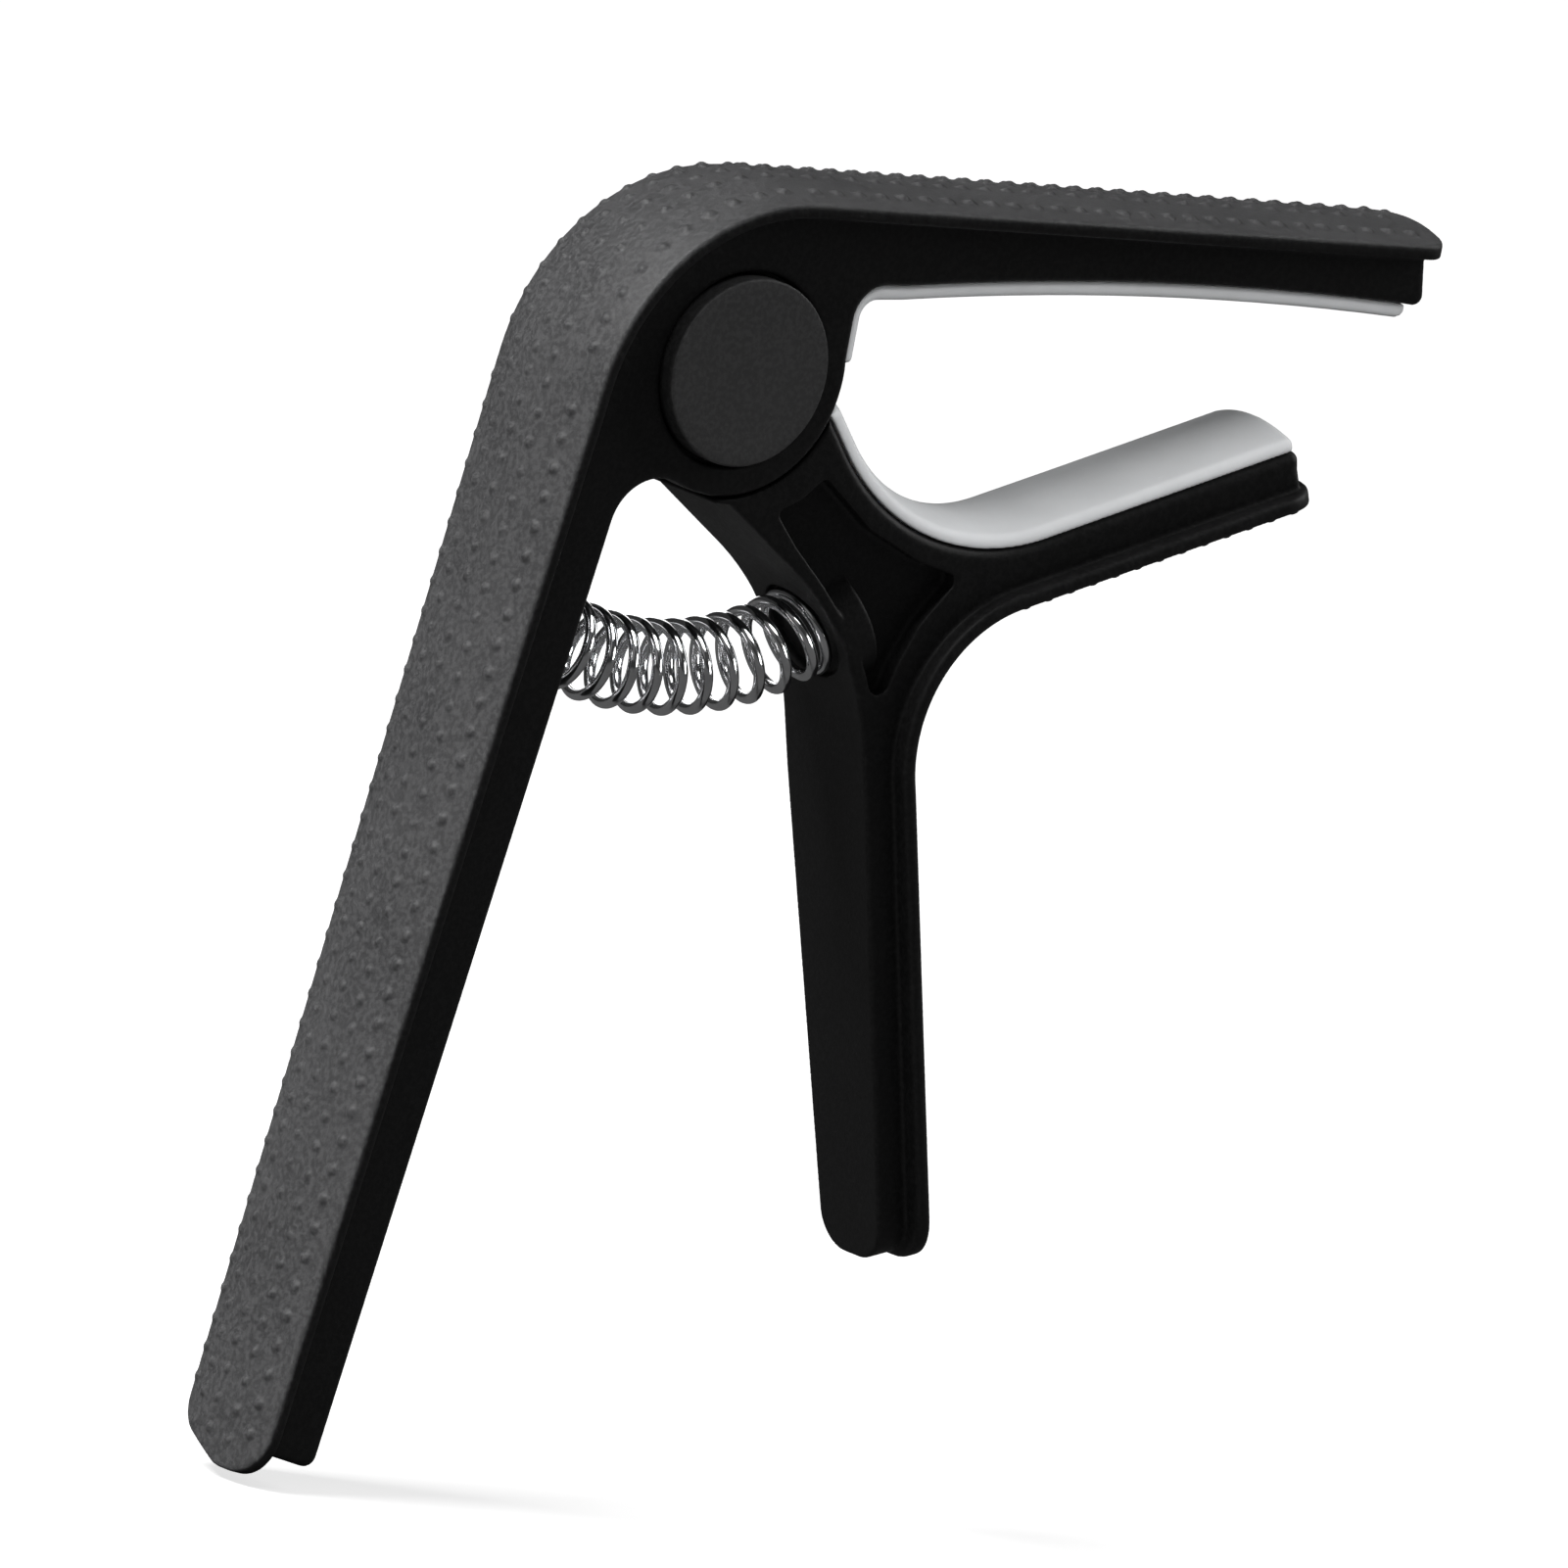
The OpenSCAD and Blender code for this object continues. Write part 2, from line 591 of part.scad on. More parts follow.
module neck_pad() in_frame() color(pad_colour) union() {
    // the strip, trimmed to the pad's width
    intersection() {
        neck_pad_strip();
        slab(pad_hw) translate([-5, -40]) square([80, 60]);
    }
    // locating rib
    slab(rib_hw) polygon(jaw_band(neck_groove[0] + rib_gap, neck_groove[1] - rib_gap,
                                  -0.4, rib_depth));
}

// ---- spring ----------------------------------------------------------------
coil_r = spring_or - spring_wire / 2;
spring_len = spring_line_r * (cup_angle - seat_angle - 0.4) * PI / 180 - spring_wire - 0.1;
closed_pitch = spring_wire + 0.06;
free_pitch = (spring_len - 2 * closed_pitch) / (spring_turns - 2);
steps_per_turn = 20;
wire_sides = 8;
// distance along the spring line after a number of turns
function advance(turns) = turns < 1 ? turns * closed_pitch
    : turns > spring_turns - 1 ? spring_len - (spring_turns - turns) * closed_pitch
    : closed_pitch + (turns - 1) * free_pitch;
function line_angle(distance) = seat_angle + distance / spring_line_r * 180 / PI;
// direction from the spring line out to the wire
function radial(angle, turns) = let (phase = turns * 360)
    [-cos(phase) * sin(angle), -sin(phase), cos(phase) * cos(angle)];
function wire_mid(turns) =
    let (angle = line_angle(advance(turns) + spring_wire / 2 + 0.12),
         centre = spring_point(angle))
    [centre[0], 0, centre[1]] + coil_r * radial(angle, turns);
function wire_ring(turns) =
    let (middle = wire_mid(turns),
         tangent = unit(wire_mid(turns + 0.01) - wire_mid(turns - 0.01)),
         side = unit(cross(tangent, radial(line_angle(advance(turns)), turns))),
         out = cross(side, tangent))
    [for (j = [0 : wire_sides - 1]) let (phase = j * 360 / wire_sides)
        middle + spring_wire / 2 * (cos(phase) * out + sin(phase) * side)];
module compression_spring() in_frame() color(spring_colour) {
    count = round(spring_turns * steps_per_turn);
    sides = wire_sides;
    polyhedron(
        points = [for (i = [0 : count]) for (p = wire_ring(i / steps_per_turn)) p],
        convexity = 12,
        faces = concat(
            [[for (j = [0 : sides - 1]) j]],
            [for (i = [0 : count - 1]) for (j = [0 : sides - 1])
                let (ring = i * sides, next = ring + sides, k = (j + 1) % sides)
                [ring + k, ring + j, next + j, next + k]],
            [[for (j = [sides - 1 : -1 : 0]) count * sides + j]]));
}

// ---- pivot -----------------------------------------------------------------
module pivot_pin() in_frame() color(pin_colour) union() {
    rod(pin_r, -cap_floor - 0.02, cap_floor + 0.02);
    // necked groove and head at each end
    both_sides() {
        rod(pin_r - 0.5, cap_floor, cap_floor + 0.7);
        rod(pin_r, cap_floor + 0.58, cap_floor + 0.85);
    }
}
module pivot_bush() in_frame() color(bush_colour) difference() {
    rod(bush_r, -slot_hw + 0.2, slot_hw - 0.2);
    rod(pin_r + 0.04, -9, 9);
}

// The washer, ring and cap are drawn on the rear side; the front ones are turned round.
module thrust_washer() difference() {
    rod(6.4, washer_floor + 0.05, slot_hw - 0.05);
    rod(bush_r + 0.15, 0, 9);
}
module front_thrust_washer() in_frame() color(washer_colour) rotate([0, 0, 180]) thrust_washer();
module rear_thrust_washer() in_frame() color(washer_colour) thrust_washer();

// open towards -Z
module retaining_ring() difference() {
    rod(4.3, cap_floor + 0.05, cap_floor + 0.55);
    rod(pin_r - 0.47, 0, 9);
    translate([0, 0, -5]) cube([2 * (pin_r - 0.6), 20, 10], center = true);
}
module front_retaining_ring() in_frame() color(ring_colour) rotate([0, 0, 180]) retaining_ring();
module rear_retaining_ring() in_frame() color(ring_colour) retaining_ring();

// hollow on its inner side, over the pin's end and the ring
module pivot_cap() difference() {
    rod(cap_r, cap_floor + 0.03, web_hw + cap_proud);
    rod(cap_r - 1.2, cap_floor - 1, cap_floor + 0.95);
}
module front_pivot_cap() in_frame() color(cap_colour) rotate([0, 0, 180]) pivot_cap();
module rear_pivot_cap() in_frame() color(cap_colour) pivot_cap();

main_lever();
trigger_lever();
string_pad();
neck_pad();
compression_spring();
pivot_pin();
pivot_bush();
front_thrust_washer();
rear_thrust_washer();
front_retaining_ring();
rear_retaining_ring();
front_pivot_cap();
rear_pivot_cap();
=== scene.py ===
"""A trigger capo: an upper lever (bar, bend and handle) and a trigger lever (jaw and trigger)
on a common pivot, with a coil spring between them and a silicone pad on each gripping face.

X runs from the handle to the bar's tip, Y along the pivot axis (front is -Y) and Z up.
Shapes are worked out in mm about the pivot axis, then moved to the row frame in metres.
"""
import math

import bpy
import numpy as np
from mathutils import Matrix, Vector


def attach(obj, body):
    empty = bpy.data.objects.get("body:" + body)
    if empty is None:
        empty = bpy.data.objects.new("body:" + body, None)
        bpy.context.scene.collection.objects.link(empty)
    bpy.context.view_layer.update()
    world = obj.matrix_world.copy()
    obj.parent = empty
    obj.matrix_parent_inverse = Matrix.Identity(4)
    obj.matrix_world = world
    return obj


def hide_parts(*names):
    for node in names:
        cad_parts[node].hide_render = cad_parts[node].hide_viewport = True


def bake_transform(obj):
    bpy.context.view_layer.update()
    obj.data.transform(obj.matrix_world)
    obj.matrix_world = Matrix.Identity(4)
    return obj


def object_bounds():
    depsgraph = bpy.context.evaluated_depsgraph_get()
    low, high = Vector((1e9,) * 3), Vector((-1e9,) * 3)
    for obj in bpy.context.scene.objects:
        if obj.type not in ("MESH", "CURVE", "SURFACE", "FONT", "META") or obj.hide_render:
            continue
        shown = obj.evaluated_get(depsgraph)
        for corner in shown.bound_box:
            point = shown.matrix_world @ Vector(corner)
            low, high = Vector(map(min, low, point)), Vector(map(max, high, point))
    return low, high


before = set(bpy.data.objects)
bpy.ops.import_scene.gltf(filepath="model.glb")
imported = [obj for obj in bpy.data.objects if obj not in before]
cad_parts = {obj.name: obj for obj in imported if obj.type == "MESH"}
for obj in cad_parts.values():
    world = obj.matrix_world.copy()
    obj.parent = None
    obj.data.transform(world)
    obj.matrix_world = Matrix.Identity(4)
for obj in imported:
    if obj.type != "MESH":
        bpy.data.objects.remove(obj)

import openvdb
from mathutils import Matrix

cad_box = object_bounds()
VOXEL = 0.15


# ---- plane geometry: points and directions are (x, z) ------------------------
def vec(*parts):
    return np.array(parts, float)


def heading(degrees):
    return vec(math.cos(math.radians(degrees)), math.sin(math.radians(degrees)))


def left_of(way):
    return vec(-way[1], way[0])


def unit(v):
    return v / np.linalg.norm(v)


def lerp(start, end, share):
    return start + (end - start) * share


def crossing(p, p_way, q, q_way):
    """Where the line through p meets the line through q."""
    t = ((q[0] - p[0]) * q_way[1] - (q[1] - p[1]) * q_way[0]) \
        / (p_way[0] * q_way[1] - p_way[1] * q_way[0])
    return p + p_way * t


def corner(before, tip, after, radius, steps):
    """Points round a filleted corner."""
    before, tip, after = (np.asarray(p, float) for p in (before, tip, after))
    if radius <= 0:
        return [tip]
    back, on = unit(before - tip), unit(after - tip)
    half = math.acos(max(-1, min(1, float(back @ on)))) / 2
    run = radius / math.tan(half)
    centre = tip + unit(back + on) * (radius / math.sin(half))
    first, last = tip + back * run, tip + on * run
    start = math.atan2(first[1] - centre[1], first[0] - centre[0])
    end = math.atan2(last[1] - centre[1], last[0] - centre[0])
    sweep = (end - start + 3 * math.pi) % (2 * math.pi) - math.pi
    angles = [start + sweep * i / steps for i in range(steps + 1)]
    return [centre + radius * vec(math.cos(a), math.sin(a)) for a in angles]


def outline(corners, steps):
    """Closed outline from (x, z, corner radius) entries."""
    points = []
    for i, tip in enumerate(corners):
        after = corners[(i + 1) % len(corners)]
        points += corner(corners[i - 1][:2], tip[:2], after[:2], tip[2], steps)
    return points


def taper(x0, x1, half0, half1, radius):
    """Plan of a strip, straight up to x0 and narrowing to its rounded end at x1."""
    return outline([(-140, half0, 0), (x0, half0, 0), (x1, half1, radius),
                    (x1, -half1, radius), (x0, -half0, 0), (-140, -half0, 0)], 14)


# ---- distance fields, negative inside ----------------------------------------
def along(x, z, start, way):
    """Distance from start measured along a direction."""
    return (x - start[0]) * way[0] + (z - start[1]) * way[1]


def away(x, z, centre):
    return np.hypot(x - centre[0], z - centre[1])


def poly_dist(points, x, z):
    """Signed distance to a closed outline."""
    points = np.asarray(points, np.float64)
    nearest = np.full(x.shape, 1e9, np.float32)
    inside = np.zeros(x.shape, bool)
    for start, end in zip(points, np.roll(points, -1, axis=0)):
        edge = end - start
        length2 = float(edge @ edge)
        if length2 < 1e-9:
            continue
        start_x, start_z = np.float32(start[0]), np.float32(start[1])
        edge_x, edge_z = np.float32(edge[0]), np.float32(edge[1])
        off_x, off_z = x - start_x, z - start_z
        t = np.clip((off_x * edge_x + off_z * edge_z) / np.float32(length2), 0, 1)
        off_x -= t * edge_x
        off_z -= t * edge_z
        np.minimum(nearest, off_x * off_x + off_z * off_z, out=nearest)
        if start[1] != end[1]:
            spans = (start[1] > z) != (end[1] > z)
            edge_at = start_x + (z - start_z) * np.float32(edge[0] / edge[1])
            inside ^= spans & (x < edge_at)
    dist = np.sqrt(nearest)
    return np.where(inside, -dist, dist)


def sector_dist(x, z, radius, start, sweep):
    """Distance to a pie slice about the pivot, in degrees."""
    arc = [radius * heading(start + sweep * i / 16) for i in range(17)]
    return poly_dist([vec(0, 0)] + arc, x, z)


def common(a, b, radius):
    """Intersection with its edge rounded."""
    return np.minimum(-radius, np.maximum(a, b)) \
        + np.hypot(np.maximum(radius + a, 0), np.maximum(radius + b, 0))


def join(a, b, radius):
    """Union with a fillet."""
    return np.maximum(radius, np.minimum(a, b)) \
        - np.hypot(np.maximum(radius - a, 0), np.maximum(radius - b, 0))


def cut(a, b):
    """a with b taken out, sharp at the rim."""
    return np.maximum(a, -b)


def soft_cut(a, b, radius):
    """a with b taken out and the rim rounded."""
    return common(a, -b, radius)


class Block:
    """A block of signed distances, filled one Y slice at a time."""

    def __init__(self, low, high, step):
        self.low, self.step = np.array(low, float), step
        counts = [int(math.ceil((high[i] - low[i]) / step)) + 1 for i in range(3)]
        self.xs, self.ys, self.zs = (low[i] + step * np.arange(counts[i]) for i in range(3))
        self.x, self.z = np.meshgrid(self.xs.astype(np.float32), self.zs.astype(np.float32),
                                     indexing="ij")
        self.values = np.empty(counts, np.float32)

    def fill(self, slice_at):
        for j, y in enumerate(self.ys):
            self.values[:, j, :] = slice_at(j, float(y))

    def plan(self, points, run):
        """Reads a plan outline in (run, y): returns a function of the slice number."""
        samples = np.arange(float(run.min()) - 1, float(run.max()) + 1, 0.06)
        grid = np.meshgrid(samples.astype(np.float32), self.ys.astype(np.float32), indexing="ij")
        table = poly_dist(points, *grid)
        return lambda j: np.interp(run, samples, table[:, j]).astype(np.float32)

    def add_ball(self, centre, radius, fillet=0.12, margin=0.5):
        """Joins a small ball on with a soft fillet."""
        first = np.floor((np.asarray(centre) - radius - margin - self.low) / self.step)
        last = np.ceil((np.asarray(centre) + radius + margin - self.low) / self.step)
        first = np.maximum(first.astype(int), 0)
        last = np.minimum(last.astype(int) + 1, self.values.shape)
        part = tuple(slice(a, b) for a, b in zip(first, last))
        x, y, z = np.ix_(self.xs[part[0]] - centre[0], self.ys[part[1]] - centre[1],
                         self.zs[part[2]] - centre[2])
        ball = np.sqrt(x * x + y * y + z * z) - radius
        old = self.values[part]
        share = np.clip(0.5 + 0.5 * (ball - old) / fillet, 0, 1)
        self.values[part] = ball * (1 - share) + old * share - fillet * share * (1 - share)

    def mesh(self, name):
        step = self.step
        values = np.clip(self.values, -3 * step, 3 * step)
        grid = openvdb.FloatGrid(3 * step)
        grid.copyFromArray(values)
        points, quads = grid.convertToQuads(0.0)
        points = points.astype(np.float64)

        def sample(at):
            cell = np.clip(np.floor(at).astype(int), 0, np.array(values.shape) - 2)
            part = at - cell
            total = 0
            for offset in np.ndindex(2, 2, 2):
                side = np.where(offset, part, 1 - part)
                weight = side[:, 0] * side[:, 1] * side[:, 2]
                total = total + weight * values[tuple((cell + offset).T)]
            return total

        # pull the points onto the zero surface
        for _ in range(2):
            slope = np.stack([sample(points + e) - sample(points - e)
                              for e in np.eye(3) * 0.6], 1) / (1.2 * step)
            steepness = np.maximum((slope ** 2).sum(1), 0.3)
            move = (sample(points) / steepness)[:, None] * slope / step
            points -= np.clip(move, -0.5, 0.5)
        points = points * step + self.low
        quads = np.asarray(quads, np.int64)
        # outward faces have positive volume
        a, b, c = (points[quads[:, i]] for i in range(3))
        if np.einsum("ij,ij->i", a, np.cross(b, c)).sum() < 0:
            quads = quads[:, ::-1]
        return add_mesh(name, points, quads)


# ---- dimensions, mm and degrees ----------------------------------------------
BAR_TOP, BAR_REACH, BAR_WEB_REACH, BAR_TAPER_X = 12.4, 60.1, 58.0, 20
BEND_RADIUS, BEND_X = 16.5, 3.5
HANDLE_LEAN, HANDLE_LEN, LEVER_DEPTH = 8.0, 81.3, 5.45
HANDLE_TAPER_AT = 2                          # run down the handle where it starts to narrow
# half widths are across Y; the crown is how far a flange bulges at mid width
FLANGE_THICK, CROWN = 1.0, 0.9
FLANGE_HALF, BAR_END_HALF, FLANGE_END_HALF = 6.3, 5.9, 5.15
HANDLE_CROWN_DROP, TRIG_CROWN_DROP = 0.42, 0.3
WEB_HALF, WEB_END_HALF, TRIG_HALF = 5.1, 3.7, 4.85
WEB_LAP = 0.3                                # how far the webs run into the flanges
TRIG_LEAN, TRIG_LEN, TRIG_DEPTH = 16.5, 40.6, 3.4
TRIG_START, TRIG_TAPER_AT = 6.9, 12          # both measured from the knee
JAW_SLOPE, JAW_REACH, JAW_DEPTH, JAW_TAPER_AT = 20.4, 50.1, 3.8, 20
THROAT_RADIUS, CROTCH_RADIUS = 16.8, 10.8
EAR_RADIUS, SLOT_HALF, KNUCKLE_RADIUS = 9.2, 3.0, 7.6
PIN_RADIUS, BUSH_RADIUS, BORE_GAP = 2.5, 3.4, 0.01
CAP_RADIUS, CAP_PROUD = 6.8, 1.0
STRING_PAD_THICK, RETURN_PAD_THICK, PAD_HALF = 1.2, 0.95, 4.6
SPRING_RADIUS, WIRE, SPRING_TURNS = 3.5, 0.85, 12.5
DOT_RADIUS, DOT_HEIGHT, DOT_EDGE = 0.42, 0.22, 0.52
BIG_DOT = 1.13                               # growth of the dots nearest the front
# arched underside of the bar, running back to the upright face at THROAT_X
ARCH_RADIUS, ARCH_X, ARCH_Z = 280.0, 43.0, 8.35
ARCH_START, THROAT_X, THROAT_DROP, THROAT_CORNER = 13.5, 9.1, 0.2, 2.55
ROW_ORIGIN = vec(ARCH_X, 0.0, 7.15)          # the row frame's origin, seen from the pivot

WEB_LEN = HANDLE_LEN - 2.3
TRIG_WEB_LEN = TRIG_LEN - 0.3
TRIG_END = TRIG_LEN + TRIG_START
JAW_FLANGE_REACH = JAW_REACH + 1.1
CAP_FLOOR = WEB_HALF - 1.2
SPRING_BORE = SPRING_RADIUS + 0.3

BEND_CENTRE = vec(BEND_X, BAR_TOP - BEND_RADIUS)
HANDLE_DIR = heading(-90 - HANDLE_LEAN)
HANDLE_IN = left_of(HANDLE_DIR)
HANDLE_TOP = BEND_CENTRE - HANDLE_IN * BEND_RADIUS


def on_handle(run, depth):
    return HANDLE_TOP + HANDLE_DIR * run + HANDLE_IN * depth


def arch(x, depth=0.0):
    return ARCH_Z - depth - (x - ARCH_X) ** 2 / (2 * ARCH_RADIUS)


def arch_line(x0, x1, depth, steps=14):
    xs = [x0 + (x1 - x0) * i / steps for i in range(steps + 1)]
    return [vec(x, arch(x, depth)) for x in xs]


TRIG_DIR = heading(-90 + TRIG_LEAN)
TRIG_OUT = left_of(TRIG_DIR)
JAW_DIR = heading(JAW_SLOPE)
JAW_UP = left_of(JAW_DIR)
JAW_POINT = vec(34, -9.15)
SHOULDER, SHOULDER_DIR = vec(1.5, -9.8), heading(-33.3)
TRIG_KNEE = crossing(SHOULDER, SHOULDER_DIR, vec(17.3, -27.2), TRIG_DIR)
CHEEK_SLOPE = 51
CHEEK, CHEEK_DIR = vec(11.1, -5.6), heading(-CHEEK_SLOPE)
THROAT_TIP = crossing(CHEEK, CHEEK_DIR, JAW_POINT, JAW_DIR)
throat_half_angle = math.radians((180 - (JAW_SLOPE + CHEEK_SLOPE)) / 2)
THROAT_RUN = THROAT_RADIUS / math.tan(throat_half_angle)
THROAT_CENTRE = THROAT_TIP + unit(JAW_DIR - CHEEK_DIR) \
    * (THROAT_RADIUS / math.sin(throat_half_angle))


def on_trig(run, depth):
    return TRIG_KNEE + TRIG_DIR * (TRIG_START + run) + TRIG_OUT * depth


def on_jaw(x, depth):
    return crossing(vec(x, 0), vec(0, 1), JAW_POINT, JAW_DIR) - JAW_UP * depth


def crotch(lap):
    """Corner between the outer faces of trigger and jaw, set in by lap."""
    return crossing(on_trig(0, TRIG_DEPTH - lap), TRIG_DIR, on_jaw(40, JAW_DEPTH - lap), JAW_DIR)


CROTCH_CENTRE = crotch(0) + unit(TRIG_DIR + JAW_DIR) \
    * (CROTCH_RADIUS / math.sin(math.acos(float(TRIG_DIR @ JAW_DIR)) / 2))

# the spring's centre line is an arc; angles on it are measured from straight down
SPRING_CENTRE, SPRING_LINE_RADIUS = vec(0.8, 2.8), 25.4
SEAT_ANGLE, CUP_ANGLE = -28.4, 31.0


def spring_point(angle):
    angle = math.radians(angle)
    return SPRING_CENTRE + SPRING_LINE_RADIUS * vec(math.sin(angle), -math.cos(angle))


def spring_axes(x, z, angle, tilt=0.0):
    """Distances along and across the spring at a point of its line."""
    centre, way = spring_point(angle), heading(angle + tilt)
    return along(x, z, centre, way), along(x, z, centre, left_of(way))


# ---- shared parts of the builders --------------------------------------------
def add_mesh(name, points, faces):
    """A smooth mesh object from points in mm about the pivot axis."""
    points = (np.asarray(points, float) - ROW_ORIGIN) / 1000
    mesh = bpy.data.meshes.new(name)
    if isinstance(faces, np.ndarray):
        faces = faces.astype(np.int32)
        count, sides = faces.shape
        mesh.vertices.add(len(points))
        mesh.vertices.foreach_set("co", points.astype(np.float32).ravel())
        mesh.loops.add(count * sides)
        mesh.loops.foreach_set("vertex_index", faces.ravel())
        mesh.polygons.add(count)
        mesh.polygons.foreach_set("loop_start", np.arange(count, dtype=np.int32) * sides)
        mesh.update(calc_edges=True)
        mesh.validate()
    else:
        mesh.from_pydata([tuple(p) for p in points], [], [tuple(f) for f in faces])
        mesh.update()
    mesh.polygons.foreach_set("use_smooth", [True] * len(mesh.polygons))
    ob = bpy.data.objects.new(name, mesh)
    bpy.context.scene.collection.objects.link(ob)
    return ob


def flange_band(depth, crown, half, y):
    """A flange's thickness, bulging outwards by the crown at mid width."""
    return np.maximum(-(depth + crown * (1 - (y / half) ** 2)), depth - FLANGE_THICK)


def add_dot(block, base, out, grow, y, crown, half):
    """One dot on a crowned face: base at the flange's edge height, out pointing off the face."""
    normal = unit(vec(1.0, 2 * crown * y / half ** 2))   # (out of face, across)
    radius, rise = DOT_RADIUS * grow, DOT_HEIGHT * grow
    ball = (radius ** 2 + rise ** 2) / (2 * rise)
    point = base + out * (crown * (1 - (y / half) ** 2) + normal[0] * (rise - ball))
    block.add_ball((point[0], y + normal[1] * (rise - ball), point[1]), ball)


def stations(start, end, pitch):
    while start < end:
        yield start
        start += pitch


def end_gap(y, outer, middle, inner):
    """How far short of a rounded end a row of dots stops, by its distance from mid width."""
    return outer if abs(y) > 5 else middle if abs(y) > 2.5 else inner


# ---- upper lever -------------------------------------------------------------
def upper_web_outline():
    """Web under the bar, round the ear and down the handle."""
    gap_radius = 3.8                         # fillet between ear and handle
    lap_top = BAR_TOP - WEB_LAP
    normal_run = float(on_handle(0, LEVER_DEPTH) @ HANDLE_IN) + gap_radius
    centre = HANDLE_IN * normal_run \
        + HANDLE_DIR * math.sqrt((EAR_RADIUS + gap_radius) ** 2 - normal_run ** 2)
    on_ear = centre * (EAR_RADIUS / (EAR_RADIUS + gap_radius))
    start = math.degrees(math.atan2(-centre[1], -centre[0]))
    end = math.degrees(math.atan2(-HANDLE_IN[1], -HANDLE_IN[0]))
    sweep = (end - start + 540) % 360 - 180
    tip_x = BAR_WEB_REACH + 0.7
    knee = crossing(vec(0, lap_top), vec(1, 0), on_handle(0, WEB_LAP), HANDLE_DIR)

    web = [vec(BEND_X, lap_top), vec(BAR_WEB_REACH, lap_top)]
    web += corner((BAR_WEB_REACH, BAR_TOP), (tip_x, arch(tip_x)), (40, arch(40)), 0.7, 6)
    web += arch_line(BAR_WEB_REACH - 1.5, ARCH_START, 0)
    web += corner((ARCH_START, arch(ARCH_START)), (THROAT_X, arch(ARCH_START) - THROAT_DROP),
                  (THROAT_X, 0), THROAT_CORNER, 10)
    web += [vec(THROAT_X, 1), vec(0, 0), on_ear * 0.97]
    web += [centre + gap_radius * heading(start + sweep * i / 16) for i in range(1, 17)]
    web += corner(on_handle(0, LEVER_DEPTH), on_handle(WEB_LEN + 0.3, LEVER_DEPTH),
                  on_handle(WEB_LEN, 0), 0.95, 8)
    web += [on_handle(WEB_LEN, WEB_LAP)]
    web += corner(on_handle(20, WEB_LAP), knee, (20, lap_top), BEND_RADIUS - WEB_LAP, 30)
    return web


# (y on the handle, first dot's run down the handle, first dot's angle round the bend,
#  first dot's x on the bar, y on the bar)
UPPER_DOTS = [
    (-4.2, 2.12, 6.7, 4.23, -4.1),
    (-1.1, 0.97, 4.3, 3.95, -0.75),
    (1.3, 0.57, 4.2, 3.8, 1.5),
    (3.95, 0.55, 3.9, 3.7, 3.9),
    (5.75, 1.85, 7.2, 4.6, 5.7),
]
HANDLE_PITCH, BEND_PITCH, BAR_PITCH = 2.165, 7.4, 1.965      # mm, degrees, mm


def handle_dot_y(row_y, run, half):
    """The outer rows draw in towards the middle as the handle narrows."""
    if row_y > 5:
        return min(row_y * (1 - 0.2 * run / HANDLE_LEN), half - DOT_EDGE)
    if row_y > 3:
        return row_y - 0.008 * run
    if row_y < -3:
        return row_y + 0.0143 * run
    return row_y


def add_upper_dots(block):
    for handle_y, first_run, first_angle, first_x, bar_y in UPPER_DOTS:
        grow = BIG_DOT if handle_y < -3 else 1.0
        for run in stations(first_run, HANDLE_LEN - end_gap(handle_y, 3.9, 2.7, 1.9),
                            HANDLE_PITCH):
            half = lerp(FLANGE_HALF, FLANGE_END_HALF,
                        max(0, (run - HANDLE_TAPER_AT) / (HANDLE_LEN - HANDLE_TAPER_AT)))
            crown = CROWN - HANDLE_CROWN_DROP * run / HANDLE_LEN
            add_dot(block, on_handle(run, 0), -HANDLE_IN, grow,
                    handle_dot_y(handle_y, run, half), crown, half)
        bend_sweep = 90 - HANDLE_LEAN
        for angle in stations(first_angle, bend_sweep - 1.5, BEND_PITCH):
            out = heading(90 + angle)
            add_dot(block, BEND_CENTRE + out * BEND_RADIUS, out, grow,
                    lerp(bar_y, handle_y, angle / bend_sweep), CROWN, FLANGE_HALF)
        for x in stations(first_x, BAR_REACH - 1.2, BAR_PITCH):
            half = lerp(FLANGE_HALF, BAR_END_HALF,
                        max(0, (x - BAR_TAPER_X) / (BAR_REACH - BAR_TAPER_X)))
            y = min(bar_y * (1 - 0.04 * x / BAR_REACH), half - DOT_EDGE)
            add_dot(block, vec(x, BAR_TOP), vec(0, 1), grow, y, CROWN, half)


